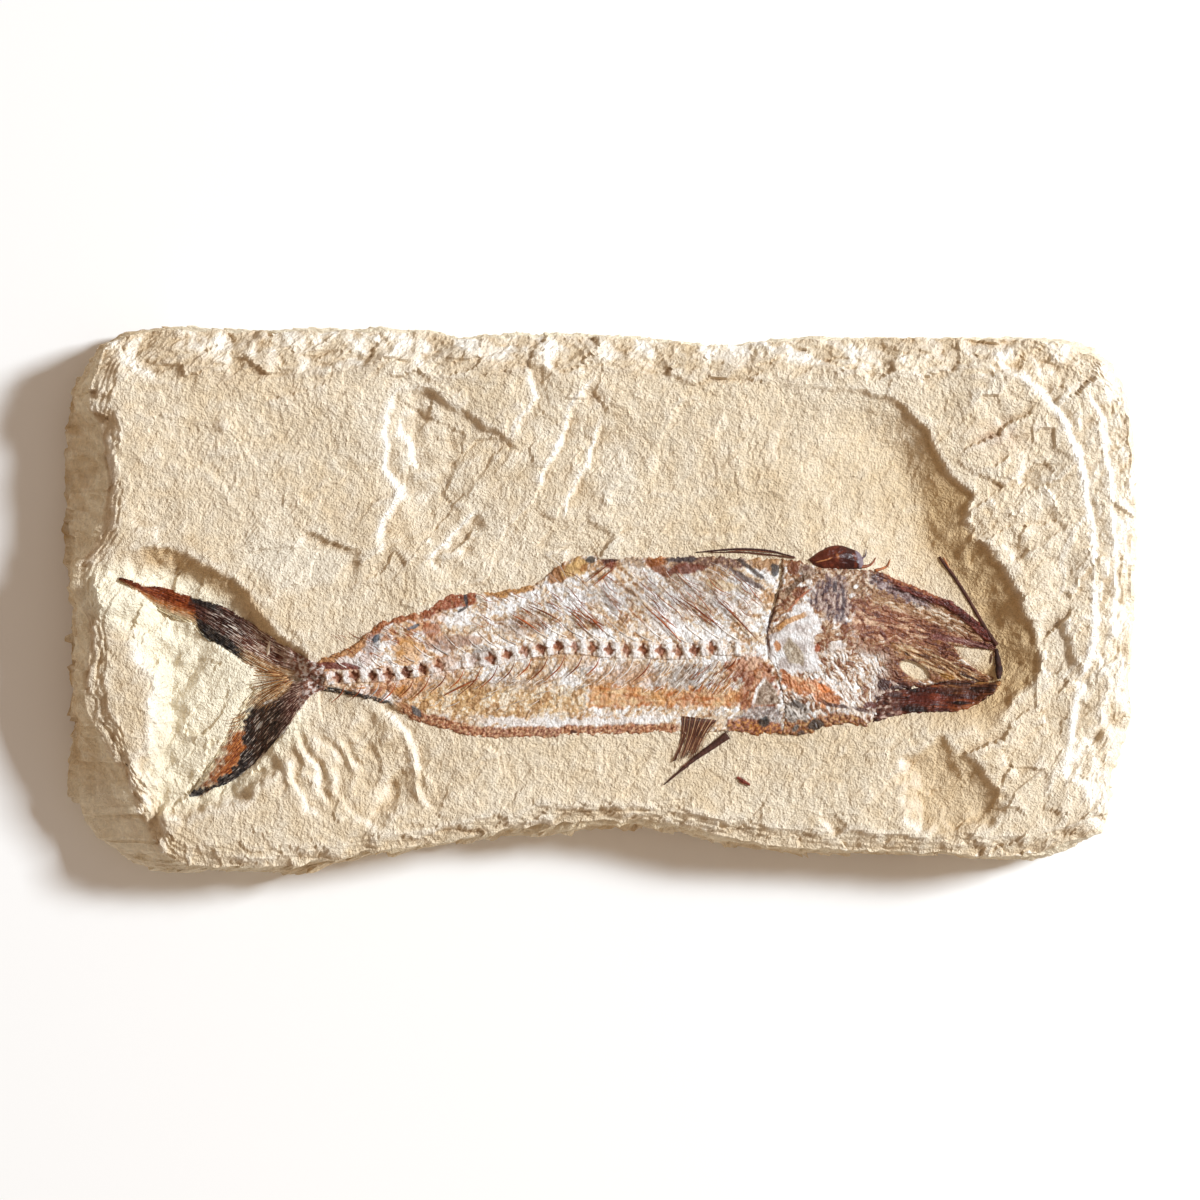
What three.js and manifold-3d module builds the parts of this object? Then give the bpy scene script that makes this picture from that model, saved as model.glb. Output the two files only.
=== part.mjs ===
// A fossil fish on a broken slab of pale limestone, lying on its flat split underside.
// Millimetres, +X along the slab towards the fish's snout, +Y towards its back, +Z up out of the
// fossil face. The origin is the middle of the underside.
//
// The slab is a box grid bent to three outlines (foot, widest level, top rim), with its upper face
// raised and lowered by the hollows that were cut round the head and the tail. Each bone or fin is
// an upright outline cut off between two raised copies of that upper face, so it follows the stone.

import * as THREE from "three";
import * as BufferGeometryUtils from "three/addons/utils/BufferGeometryUtils.js";
import Module from "manifold-3d";

const wasm = await Module();
wasm.setup();

// Driving dimensions.
const THICKNESS = 26; // underside to the undisturbed upper face
const FOOT_INSET = 0.984; // the underside's outline against the widest level
const WIDEST_SPREAD = 1.0065; // the widest level against the points listed below
const WIDEST_AT = 0.4; // height of the widest level, as a part of the thickness
const WALL_ROUGHNESS = 0.006; // how far the broken walls swell, as a part of their distance
const CELLS_LONG = 46; // grid cells along X
const CELLS_WIDE = 24; // grid cells along Y
const CELLS_HIGH = 5; // grid cells up the wall
const GAP = 0.3; // air between pieces that would touch
const TRIM = 1; // the grids reach this far below the underside before they are cut flat

const TRUNK_DEPTH = 1.0;
const BACKBONE_DEPTH = 0.8;
const SKULL_EDGE_DEPTH = 1.0;
const SKULL_CROWN = 2.4; // how far the crushed skull domes above its edge
const JAW_DEPTH = 2.0;
const PLATE_DEPTH = 2.6;
const FIN_DEPTH = 0.8;
const ROD_DEPTH = 1.0;

// Corner-to-corner sides of the slab at its widest level.
const WIDEST = {
  top: [
    [-142, 69], [-135, 74.8], [-120, 76.5], [-98, 75.7], [-75, 76.1], [-50, 75.7], [-38, 73.9],
    [-18, 74.8], [0, 74.2], [20, 73], [35, 71.6], [50, 73.4], [72, 73.8], [97, 73.4],
    [118, 73.8], [135, 72.4], [143, 67],
  ],
  right: [
    [141, -65.5], [143.2, -58], [144, -48], [148.8, -35], [148.2, -22], [149.2, -10],
    [150, 5], [150.5, 22], [150.2, 40], [147.9, 57], [143, 67],
  ],
  bottom: [
    [-142, -67], [-131, -73.2], [-120, -76.2], [-110, -75.6], [-97, -76.4], [-84, -76.5],
    [-77, -74], [-65, -71.8], [-46, -68.6], [-20, -65.8], [-5, -63.9], [12, -63.6],
    [28, -66.5], [47, -69.8], [68, -71.3], [95, -71.5], [113, -73], [128, -71.3], [141, -65.5],
  ],
  left: [
    [-142, -67], [-147.5, -57], [-149, -45], [-148.4, -37], [-150.2, -27], [-148.4, -12],
    [-149.5, 0], [-149.7, 12], [-150.1, 28], [-149.8, 42], [-148.8, 55], [-142, 69],
  ],
};

// Corner-to-corner sides of the rim, where the wall meets the upper face.
const RIM = {
  top: [
    [-138.5, 71.5], [-125, 74.3], [-98, 73.8], [-75, 74.4], [-50, 74], [-38, 72], [-18, 73],
    [0, 72.5], [20, 71.2], [35, 69.7], [50, 71.5], [84, 72.2], [110, 72], [128, 70.8], [138, 66.5],
  ],
  right: [
    [137.5, -64], [140.5, -57], [141, -49], [144, -41], [146, -33], [145.5, -22], [147, -8],
    [147.6, 5], [148, 20], [147.6, 40], [145, 55], [138, 66.5],
  ],
  bottom: [
    [-126, -67], [-117, -73.3], [-90, -74], [-78, -72.5], [-62, -69.5], [-35, -65.3],
    [-18, -61.8], [0, -60.3], [16, -60.5], [30, -63.4], [48, -67.6], [75, -69], [100, -69.5],
    [120, -70.5], [137.5, -64],
  ],
  left: [
    [-126, -67], [-130.5, -58], [-134, -49], [-139, -41], [-143.8, -32], [-144.8, -24],
    [-143.6, -15], [-144.5, -6], [-147.3, 3], [-146, 11], [-140.3, 19], [-138.8, 30],
    [-140, 46], [-143.6, 58], [-138.5, 71.5],
  ],
};

// Hollows in the upper face: outline, depth, and the width of the bank inside the outline. A
// hollow with a fade comes in gradually between two places along X.
const HOLLOWS = [
  {
    // round the tail fin
    outline: [
      [-148, 12], [-137, 14.5], [-122, 15.5], [-110, 10.5], [-98, 3], [-91, -8], [-84, -14.5],
      [-78, -22], [-80, -38], [-90, -48], [-98, -57], [-110, -60.5], [-127, -64], [-131, -50],
      [-128, -38], [-127, -24], [-133, -13], [-150, -4],
    ],
    depth: 4.6,
    bank: 9,
  },
  {
    // ahead of and above the head
    outline: [
      [40, 62], [70, 60], [82, 57.5], [92, 49.5], [98, 36], [106, 30], [103, 22], [113, 11.5],
      [119, 0], [124, -11], [125, -21], [117, -29], [112, -39], [96, -38], [60, -44], [40, -50],
    ],
    depth: 5.4,
    bank: 10,
    fade: [46, 96],
  },
  {
    // smooth scoop under the throat
    outline: [
      [84, -44], [96, -38], [106, -44.5], [115.5, -54], [112, -64], [98, -70], [84, -62],
    ],
    depth: 2.6,
    bank: 9,
  },
  {
    // shallow flake scar above the middle of the back
    outline: [
      [-55, 60], [-43, 57], [-33, 51], [-22, 42.5], [-36, 24], [-50, 12], [-62, 15], [-57, 31],
      [-61, 45],
    ],
    depth: 1.0,
    bank: 4,
  },
  {
    // folded flakes behind the tail fin
    outline: [
      [-76, -36], [-64, -30], [-53, -42], [-50, -58], [-64, -66], [-84, -60], [-84, -46],
    ],
    depth: 1.5,
    bank: 6,
  },
];
const BAND_TOP = { from: 65, to: 76, drop: 2.4 }; // flaked band along the top edge
const BAND_EDGE = 3; // rounding of the rim

// Outlines of the fossil pieces, seen from above.
const TRUNK = [
  [-78.5, -17], [-70, -13], [-62, -6], [-49, -1.7], [-43, 1.5], [-27, 3], [-17, 5.5], [-8, 12],
  [9, 12.8], [26, 12.6], [50.5, 11.3], [49, 2], [47.6, -3], [46.3, -9], [46, -16], [48.4, -21],
  [50.5, -30], [51, -38], [36, -37.5], [10, -38], [-28, -39.2], [-45, -36.5], [-56, -32],
  [-70, -27], [-78.5, -25.6],
];
const SKULL = [
  [52, 11.2], [58.6, 10.6], [61.5, 8], [74, 7.9], [84.6, 5.2], [98.7, 0.1], [106.7, -5.6],
  [110, -9.5], [110.6, -13.2], [99, -12.6], [100.5, -16.8], [108, -20.8], [100.2, -21],
  [89, -23.5], [79, -23.9], [75, -30], [74, -35.2], [66, -35.4], [52, -38], [51.2, -30],
  [49.2, -21], [46.9, -16], [47.1, -9], [48.4, -3], [50.2, 4],
];
const LOWER_JAW = [
  [112.6, -23], [109.2, -23.3], [104.7, -21.9], [100.2, -22], [93.1, -23.9], [89.2, -24.6],
  [79.8, -24.8], [76, -30.2], [75, -34], [79.2, -33.8], [89.2, -31.8], [100.2, -31.5],
  [107.2, -28.8], [111.1, -26.3],
];
const NAPE_PLATE = [
  [58.8, 11.4], [61, 13], [64, 14.7], [67.5, 15.2], [73, 13.2], [74, 11], [73.6, 8.5],
  [62, 8.6],
];
const UPPER_TAIL_LOBE = [
  [-135, 6.3], [-125, 3.5], [-113, 0.5], [-105, -3], [-92, -11], [-85, -15.5], [-79.2, -19],
  [-79.2, -22], [-90, -22.4], [-99, -22.6], [-102, -18], [-109, -12.5], [-114, -8], [-122, -3],
  [-133, 5],
];
const LOWER_TAIL_LOBE = [
  [-79.2, -22.5], [-80, -26], [-86, -34], [-94, -44.5], [-103, -51], [-116.5, -55.5],
  [-111, -50], [-106, -41], [-101, -31], [-98.5, -23.2], [-90, -22.9],
];
const PELVIC_FIN = [
  [22.5, -38.8], [33, -38.2], [31, -40], [28, -42.2], [21.3, -45.4],
];
const PELVIC_SPINE = [
  [35, -38.3], [36.6, -38.6], [30, -43], [24, -48.3], [18, -52], [22, -48], [28, -43],
];
const DORSAL_RAY = [
  [27, 13.3], [35, 13.9], [45, 13.8], [55, 12], [55, 12.5], [45, 14.8], [35, 14.8],
];
const BACKBONE_LINE = [
  [-76, -22], [-56, -20.6], [-43, -18], [-29, -16], [-14.7, -13.7], [-3, -13.3], [17.6, -14],
  [39, -14],
];
const BACKBONE_WIDTH = 3.2;
const ROD_LONG_LINE = [
  [95.7, 12.2], [99.7, 6.9], [103.7, 1.4], [108.4, -5.1], [111.2, -9.7], [112.3, -12.6],
];
const ROD_SHORT_LINE = [
  [112, -13.9], [112.6, -16.7], [112.8, -19.7], [112.7, -22.2],
];
const SPLINT_LINE = [
  [39, -50], [42, -52],
];
const ROD_WIDTH = 1.1;

function smoothStep(value) {
  const t = THREE.MathUtils.clamp(value, 0, 1);
  return t * t * (3 - 2 * t);
}

// A side's points as one smooth curve in the plane.
function sideCurve(points, spread) {
  const places = points.map(([x, y]) => new THREE.Vector3(x * spread, y * spread, 0));
  return new THREE.CatmullRomCurve3(places, false, "centripetal");
}

function ringCurves(sides, spread) {
  return {
    top: sideCurve(sides.top, spread),
    right: sideCurve(sides.right, spread),
    bottom: sideCurve(sides.bottom, spread),
    left: sideCurve(sides.left, spread),
  };
}

const rimRing = ringCurves(RIM, 1);
const widestRing = ringCurves(WIDEST, WIDEST_SPREAD);
const footRing = ringCurves(WIDEST, WIDEST_SPREAD * FOOT_INSET);

// The place at (u, v) inside a ring of four curves: the two ruled surfaces between opposite sides,
// less the one between the corners (a Coons patch).
function placeInRing(ring, u, v) {
  const top = ring.top.getPointAt(u);
  const bottom = ring.bottom.getPointAt(u);
  const left = ring.left.getPointAt(v);
  const right = ring.right.getPointAt(v);
  const acrossY = bottom.clone().lerp(top, v);
  const acrossX = left.clone().lerp(right, u);
  const low = ring.bottom.getPointAt(0).lerp(ring.bottom.getPointAt(1), u);
  const high = ring.top.getPointAt(0).lerp(ring.top.getPointAt(1), u);
  const corners = low.lerp(high, v);
  return acrossX.add(acrossY).sub(corners);
}

// Distance from a place to a closed outline, positive inside it.
function depthInside(outline, x, y) {
  let nearest = Infinity;
  let inside = false;
  outline.forEach(([ax, ay], index) => {
    const [bx, by] = outline[(index + 1) % outline.length];
    const along = ((x - ax) * (bx - ax) + (y - ay) * (by - ay)) / ((bx - ax) ** 2 + (by - ay) ** 2);
    const t = THREE.MathUtils.clamp(along, 0, 1);
    const distance = Math.hypot(x - ax - t * (bx - ax), y - ay - t * (by - ay));
    nearest = Math.min(nearest, distance);
    if (ay > y !== by > y && x < ax + ((bx - ax) * (y - ay)) / (by - ay)) {
      inside = !inside;
    }
  });
  return inside ? nearest : -nearest;
}

// Height of the upper face: the thickness, a gentle swell, the hollows and the flaked top band.
function faceHeight(x, y) {
  let height = THICKNESS + 0.5 * Math.sin(x / 31) * Math.cos(y / 23);
  for (const { outline, depth, bank, fade } of HOLLOWS) {
    const share = fade ? smoothStep((x - fade[0]) / (fade[1] - fade[0])) : 1;
    height -= depth * share * smoothStep(depthInside(outline, x, y) / bank);
  }
  height -= BAND_TOP.drop * smoothStep((y - BAND_TOP.from) / (BAND_TOP.to - BAND_TOP.from));
  return height;
}

// The rim's own rounding, by the distance from the edge of the grid.
function rimDrop(u, v) {
  const edge = Math.min(u, 1 - u, v, 1 - v);
  return edge < 1e-6 ? BAND_EDGE * 0.6 : 0;
}

// A box grid of one unit, bent by a function of its three unit coordinates.
function bentGrid(cellsHigh, bend) {
  const grid = new THREE.BoxGeometry(1, 1, 1, CELLS_LONG, CELLS_WIDE, cellsHigh);
  grid.deleteAttribute("normal");
  grid.deleteAttribute("uv");
  const place = grid.attributes.position;
  for (let index = 0; index < place.count; index += 1) {
    const u = place.getX(index) + 0.5;
    const v = place.getY(index) + 0.5;
    const w = place.getZ(index) + 0.5;
    const point = bend(u, v, w);
    place.setXYZ(index, point.x, point.y, point.z);
  }
  return toSolid(grid);
}

function toSolid(geometry) {
  const merged = BufferGeometryUtils.mergeVertices(geometry, 1e-4);
  return new wasm.Manifold(
    new wasm.Mesh({
      numProp: 3,
      vertProperties: new Float32Array(merged.attributes.position.array),
      triVerts: new Uint32Array(merged.index.array),
    }),
  );
}

function toGeometry(solid) {
  const mesh = solid.getMesh();
  const geometry = new THREE.BufferGeometry();
  geometry.setAttribute("position", new THREE.BufferAttribute(mesh.vertProperties, 3));
  geometry.setIndex(new THREE.BufferAttribute(mesh.triVerts, 1));
  return geometry;
}

// The slab: foot, widest level and rim, with uneven swells on the broken walls.
function slabPoint(u, v, w) {
  const rim = placeInRing(rimRing, u, v);
  const top = faceHeight(rim.x, rim.y) - rimDrop(u, v);
  if (w > 0.999) {
    return new THREE.Vector3(rim.x, rim.y, top);
  }
  const widest = placeInRing(widestRing, u, v);
  const place = widest.clone();
  if (w < WIDEST_AT) {
    place.lerp(placeInRing(footRing, u, v), 1 - smoothStep(w / WIDEST_AT));
  } else {
    place.lerp(rim, ((w - WIDEST_AT) / (1 - WIDEST_AT)) ** 1.3);
  }
  const swell = Math.sin(place.x / 7 + 9 * w) * Math.sin(place.y / 6 - 7 * w);
  const share = w > 0.01 ? WALL_ROUGHNESS * swell * Math.sin(Math.PI * w) : 0;
  place.multiplyScalar(1 + share);
  place.z = w > 0.01 ? w * top : -TRIM;
  return place;
}

// Everything under a copy of the upper face that is raised by a lift at each place.
function underRaisedFace(liftAt) {
  return bentGrid(1, (u, v, w) => {
    const place = placeInRing(rimRing, u, v);
    const top = faceHeight(place.x, place.y) - rimDrop(u, v) + liftAt(place.x, place.y);
    place.z = w > 0.5 ? top : -TRIM;
    return place;
  });
}

function uprightOutline(outline) {
  const shape = new THREE.Shape(outline.map(([x, y]) => new THREE.Vector2(x, y)));
  const options = { depth: 3 * THICKNESS, bevelEnabled: false };
  const prism = new THREE.ExtrudeGeometry(shape, options);
  prism.deleteAttribute("normal");
  prism.deleteAttribute("uv");
  return toSolid(prism);
}

// The outline of a rod of even width along a line of places.
function rodOutline(line, width) {
  const curve = sideCurve(line, 1);
  const steps = 2 * (line.length - 1);
  const sides = [[], []];
  for (let step = 0; step <= steps; step += 1) {
    const place = curve.getPoint(step / steps);
    const along = curve.getTangent(step / steps);
    sides[0].push([place.x - (along.y * width) / 2, place.y + (along.x * width) / 2]);
    sides[1].unshift([place.x + (along.y * width) / 2, place.y - (along.x * width) / 2]);
  }
  return [...sides[0], ...sides[1]];
}

// A piece lying on the upper face, lifted clear of it, with its own depth at each place.
function onFace(outline, depthAt, lift = GAP) {
  const below = underRaisedFace(() => lift);
  const under = underRaisedFace((x, y) => lift + depthAt(x, y));
  return toGeometry(uprightOutline(outline).intersect(under).subtract(below));
}

const even = (depth) => () => depth;
const domed = (outline, edge, crown) => (x, y) =>
  edge + crown * smoothStep(depthInside(outline, x, y) / 12);

function stone(color, roughness) {
  return new THREE.MeshStandardMaterial({ color, roughness, metalness: 0 });
}

const slab = new THREE.Group();

function addPiece(name, geometry, material) {
  const piece = new THREE.Mesh(geometry, material);
  piece.name = name;
  slab.add(piece);
}

const backboneLift = GAP + TRUNK_DEPTH + GAP;
const paleBone = stone(0xd9bfa8, 0.7);
const brownBone = stone(0x5b2c22, 0.45);

const block = bentGrid(CELLS_HIGH, slabPoint).trimByPlane([0, 0, 1], 0);
addPiece("slab", toGeometry(block), stone(0xdcc7a4, 0.95));
addPiece("trunk", onFace(TRUNK, even(TRUNK_DEPTH)), stone(0xd4ab84, 0.6));
addPiece(
  "backbone",
  onFace(rodOutline(BACKBONE_LINE, BACKBONE_WIDTH), even(BACKBONE_DEPTH), backboneLift),
  paleBone,
);
addPiece("skull", onFace(SKULL, domed(SKULL, SKULL_EDGE_DEPTH, SKULL_CROWN)), stone(0x9a6a55, 0.5));
addPiece("lower_jaw", onFace(LOWER_JAW, even(JAW_DEPTH)), brownBone);
addPiece("nape_plate", onFace(NAPE_PLATE, even(PLATE_DEPTH)), stone(0x3d1614, 0.3));
addPiece("jaw_rod_long", onFace(rodOutline(ROD_LONG_LINE, ROD_WIDTH), even(ROD_DEPTH)), brownBone);
addPiece("jaw_rod_short", onFace(rodOutline(ROD_SHORT_LINE, ROD_WIDTH), even(ROD_DEPTH)), brownBone);
addPiece("upper_tail_lobe", onFace(UPPER_TAIL_LOBE, even(FIN_DEPTH)), stone(0x5a2a1c, 0.5));
addPiece("lower_tail_lobe", onFace(LOWER_TAIL_LOBE, even(FIN_DEPTH)), stone(0x33201c, 0.5));
addPiece("pelvic_fin", onFace(PELVIC_FIN, even(FIN_DEPTH)), brownBone);
addPiece("pelvic_spine", onFace(PELVIC_SPINE, even(ROD_DEPTH)), brownBone);
addPiece("dorsal_ray", onFace(DORSAL_RAY, even(ROD_DEPTH)), brownBone);
addPiece("stray_splint", onFace(rodOutline(SPLINT_LINE, ROD_WIDTH), even(ROD_DEPTH)), brownBone);

export default slab;
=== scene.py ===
"""A fossil fish in low relief on a broken slab of pale limestone, lying on a plain studio floor."""

import math

import bpy
import numpy as np
from bpy.props import FloatProperty, FloatVectorProperty, PointerProperty
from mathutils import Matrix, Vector


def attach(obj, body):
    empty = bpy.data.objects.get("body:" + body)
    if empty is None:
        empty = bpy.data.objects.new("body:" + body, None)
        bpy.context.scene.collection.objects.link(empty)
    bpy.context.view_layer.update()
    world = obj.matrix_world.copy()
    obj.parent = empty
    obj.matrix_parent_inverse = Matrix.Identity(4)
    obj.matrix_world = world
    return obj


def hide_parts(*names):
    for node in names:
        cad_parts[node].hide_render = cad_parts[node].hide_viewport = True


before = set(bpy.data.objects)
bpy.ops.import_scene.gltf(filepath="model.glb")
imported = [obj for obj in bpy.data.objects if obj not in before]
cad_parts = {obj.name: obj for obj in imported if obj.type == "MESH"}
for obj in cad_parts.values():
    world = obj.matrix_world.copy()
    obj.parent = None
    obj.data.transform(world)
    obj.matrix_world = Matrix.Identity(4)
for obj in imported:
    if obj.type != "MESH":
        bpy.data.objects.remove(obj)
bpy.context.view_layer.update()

bl_info = {
    "name": "Fossil fish slab",
    "version": (1, 0, 0),
    "blender": (4, 5, 0),
    "location": "3D View > Sidebar > Fossil",
    "description": "Builds a prepared limestone slab with a fossil fish, piece by piece",
    "category": "Add Mesh",
}

LATTICE = 256  # lattice places along each side of the noise, after which it repeats
SCARS = 128  # and of the break scars and flakes
MM = 0.001  # the shapes below are worked out in millimetres, and meshes are in metres
BODY = "root"

# ---------------------------------------------------------------- the slab's driving sizes, in mm

CELLS_LONG = 384  # cells of the upper face along X
CELLS_WIDE = 192  # and along Y
COARSE = 4  # cells of the upper face to one cell of the underside
THICKNESS = 26.0
FACE_LONG = 288  # length of the upper face
FACE_WIDE = 140  # and its width
HALF_SIZES = (150.0, 75.0)  # half the slab's length and width
FOOT_HEIGHT = 0.9  # the wall's lowest ring, over the underside's resting plane
SEAM_REACH = 12.0  # how far from the ring's first place its break scars fade in
FOOT_INSET = 0.984  # the underside's outline against the widest level
PATCH_INSET = 0.985  # the underside's outer places against the foot's outline
WIDEST_SPREAD = 1.0065
WIDEST_AT = 0.4  # height of the widest level as a part of the thickness
WALL_LEVELS = (0.97, 0.93, 0.88, 0.81, 0.73, 0.64, 0.55, 0.46, 0.37, 0.28, 0.2, 0.12, 0.05, 0.0)

WIDEST = {
    "top": [
        (-142, 69), (-135, 74.8), (-120, 76.5), (-98, 75.7), (-75, 76.1), (-50, 75.7), (-38, 73.9),
        (-18, 74.8), (0, 74.2), (20, 73), (35, 71.6), (50, 73.4), (72, 73.8), (97, 73.4),
        (118, 73.8), (135, 72.4), (143, 67),
    ],
    "right": [
        (141, -65.5), (143.2, -58), (144, -48), (148.8, -35), (148.2, -22), (149.2, -10),
        (150, 5), (150.5, 22), (150.2, 40), (147.9, 57), (143, 67),
    ],
    "bottom": [
        (-142, -67), (-131, -73.2), (-120, -76.2), (-110, -75.6), (-97, -76.4), (-84, -76.5),
        (-77, -74), (-65, -71.8), (-46, -68.6), (-20, -65.8), (-5, -63.9), (12, -63.6),
        (28, -66.5), (47, -69.8), (68, -71.3), (95, -71.5), (113, -73), (128, -71.3),
        (141, -65.5),
    ],
    "left": [
        (-142, -67), (-147.5, -57), (-149, -45), (-148.4, -37), (-150.2, -27), (-148.4, -12),
        (-149.5, 0), (-149.7, 12), (-150.1, 28), (-149.8, 42), (-148.8, 55), (-142, 69),
    ],
}
RIM = {
    "top": [
        (-138.5, 73), (-125, 75.8), (-98, 75.4), (-75, 75.9), (-50, 75.5), (-38, 73.6),
        (-18, 74.5), (0, 74), (20, 72.8), (35, 71.3), (50, 73.1), (84, 73.6), (110, 73.4),
        (128, 72.6), (142, 67.2),
    ],
    "right": [
        (140.3, -65.2), (143, -57.6), (143.6, -49), (146.4, -41.5), (148.4, -34), (148.2, -22),
        (149.3, -9), (150, 5), (150.6, 21), (150.2, 40), (148, 56), (142, 67.2),
    ],
    "bottom": [
        (-126, -67.8), (-117, -74.3), (-90, -75), (-78, -73.2), (-62, -70.6), (-35, -66.6),
        (-18, -63.6), (0, -62.2), (16, -62.2), (30, -65), (48, -69), (75, -70.6),
        (100, -71.2), (120, -71.8), (140.3, -65.2),
    ],
    "left": [
        (-126, -67.8), (-130.5, -58), (-134, -49), (-139, -41), (-143.8, -32), (-144.8, -24),
        (-143.6, -15), (-144.5, -6), (-147.3, 3), (-146, 11), (-140.3, 19), (-138.8, 30),
        (-140, 46), (-143.6, 58), (-138.5, 73),
    ],
}

# Hollows in the upper face: outline, depth, width of the bank, the centre and half sizes of the
# place where the hollow fades to nothing, and the place, direction and reach of its shallow side.
HOLLOWS = [
    (
        [
            (-148, 12), (-137, 14.5), (-122, 15.5), (-110, 10.5), (-98, 3), (-91, -8),
            (-84, -14.5), (-78, -22), (-80, -38), (-90, -48), (-98, -57), (-110, -60.5),
            (-127, -64), (-131, -50), (-128, -38), (-127, -24), (-133, -13), (-150, -4),
        ],
        5.2, 7.0, (-82.0, -36.0, 13.0, 15.0), (-138.0, 0.0, 1.0, 0.0, 16.0),
    ),
    (
        [
            (40, 62), (70, 60), (82, 57.5), (92, 49.5), (98, 36), (106, 30), (103, 22),
            (113, 11.5), (119, 0), (124, -11), (125, -21), (117, -29), (112, -39), (96, -38),
            (60, -44), (40, -50),
        ],
        6.6, 13.0, (40.0, 4.0, 40.0, 90.0), (0.0, -42.0, 0.0, 1.0, 18.0),
    ),
    (
        [
            (84, -44), (96, -38), (106, -44.5), (115.5, -54), (112, -64), (98, -70), (84, -62),
        ],
        3.6, 9.0, None, None,
    ),
    (
        [
            (-76, -36), (-64, -30), (-53, -42), (-50, -58), (-64, -66), (-84, -60), (-84, -46),
        ],
        1.5, 6.0, None, None,
    ),
]
LIP_SHARE = 0.28  # the part of a hollow's depth that falls off sharply at its lip
LIP_WIDTH = 1.6

# The long crest at the right, from the top down, where the face starts to fall to the edge.
CREST = [
    (113, 66), (124, 58.5), (131, 49.5), (135, 37), (138, 21), (139, 8), (139, -8), (133, -32),
    (131, -48), (132.5, -60),
]
# Flake edges: a line, and left of its direction the face drops by so much, over a wall so wide,
# and comes back up over the reach.
FLAKES = [
    ([(-22, 42.5), (-25, 45.5), (-33, 51), (-43, 57), (-48, 59.5), (-56, 60)], 1.5, 2.4, 22),
    (
        [
            (-55, 61), (-58, 58), (-60, 54), (-60, 50), (-61, 47), (-60, 43), (-61, 37),
            (-59, 34), (-57, 31), (-58, 27), (-61, 23), (-62.5, 18), (-62, 13),
        ],
        1.2, 1.8, 14,
    ),
    ([(-57, 53), (-57, 47), (-54, 43), (-52, 35)], 0.8, 1.3, 9),
    ([(-38, 24), (-41, 27), (-43, 30), (-41.5, 33), (-40, 37), (-41, 41)], 0.6, 1.5, 10),
    ([(-35, 25), (-40, 20), (-43, 17), (-50, 10)], 1.0, 1.3, 7),
    ([(-37, 16), (-40, 13.5), (-44, 10)], 0.4, 0.9, 6),
    ([(-20, 69), (-21, 64), (-19, 60), (-18.5, 57), (-20, 54), (-24, 50), (-25, 45)], 1.1, 1.6, 9),
    ([(-1, 63), (-6, 58), (-9, 54), (-9.5, 49), (-12, 44), (-15, 38), (-18, 32)], 1.0, 1.2, 9),
    ([(0, 51), (-2, 44), (-4, 38), (-7, 33), (-10, 27), (-10, 22)], 0.9, 1.2, 9),
    ([(-11, 22), (-18, 25.5)], 0.6, 1.0, 6),
    ([(5, 19), (0, 21), (-5, 23.5)], 0.5, 1.0, 6),
    ([(-66, 13.6), (-73, 15.5), (-79, 18), (-84, 20.5)], 0.8, 0.9, 16),
    (CREST, 1.3, 1.6, 60),
    ([(136, 62), (141, 50), (143, 36), (144.5, 18), (145, 0), (144, -12)], 1.5, 1.5, 60),
    ([(139, -12), (143, -24), (141, -34), (137, -42)], 1.1, 1.4, 14),
    ([(140, -26), (135, -17), (133, -10), (128, -2)], 1.3, 2.6, 9),
    ([(146, -29), (138, -37), (133, -43), (129, -49)], 1.8, 3.2, 11),
    ([(116, 9.5), (120, 12), (124, 15), (132, 20.5)], 0.9, 1.3, 7),
    ([(106, 16.5), (113, 21.5)], 0.7, 1.0, 6),
    ([(112, -41), (114, -47), (119, -51)], 0.8, 1.2, 8),
    ([(91, -41), (80, -52), (72, -61)], 0.6, 1.1, 12),
    ([(-107, 70), (-102, 72), (-96, 73.5)], 1.2, 1.3, 6),
    ([(-85, 63), (-75, 65.5), (-68, 66.2), (-62, 67.5), (-58, 69.5), (-56, 72)], 1.6, 1.6, 7),
    ([(-52, 66.5), (-42, 70.5), (-36, 72)], 1.2, 1.3, 6),
    ([(-14, 64), (-9, 66.5), (-5, 69), (1, 72)], 1.2, 1.3, 6),
    ([(76, 61), (83, 67), (85, 70)], 1.0, 1.5, 6),
    ([(96, 63.5), (105, 66), (112, 69), (118, 72), (126, 74)], 1.3, 1.4, 6),
    ([(124, 57.5), (133, 60), (143, 62.5)], 0.9, 0.9, 7),
    ([(114, 66), (120, 61), (126, 57)], 0.8, 1.2, 8),
    ([(-136, 70), (-130, 64), (-119, 60)], 0.5, 1.1, 9),
    ([(-132, -15), (-121, -27)], 0.9, 1.0, 5),
    ([(-65, -29), (-55, -38), (-53, -45), (-52, -55), (-46, -61)], 1.3, 2.6, 8),
    ([(-57, -46), (-62, -55), (-67, -63)], 1.0, 2.0, 6),
    ([(-64, -55), (-60, -48), (-63, -39)], 1.0, 2.6, 6),
    ([(-57, -61), (-56, -51)], 0.8, 2.0, 5),
    ([(-20, -57.5), (-10, -60), (0, -59.6), (10, -59), (20, -60), (30, -62.5), (42, -65.5)],
     -0.9, 1.5, 5),
    ([(70, -67.5), (90, -67), (100, -68), (112, -70.5)], -0.8, 1.5, 5),
    ([(60, -59.5), (65.5, -67.5)], 0.9, 1.5, 6),
    ([(-124, 44), (-108, 34), (-98, 20)], 0.35, 1.2, 12),
    ([(24, 58), (16, 44), (14, 30)], 0.35, 1.2, 14),
    ([(46, 66), (52, 52), (47, 40)], 0.4, 1.6, 12),
    ([(110, 52), (118, 40), (116, 28)], 0.7, 1.8, 10),
    ([(98, -44), (91, -54), (89, -64)], 0.4, 1.6, 9),
]
# The flake edges that face the key light, drawn as a cream line: part bruising, part painted
# highlight.
BRUISED_LIT_EDGES = [FLAKES[index][0] for index in (1, 4, 6, 7, 8)] + [CREST]
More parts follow.
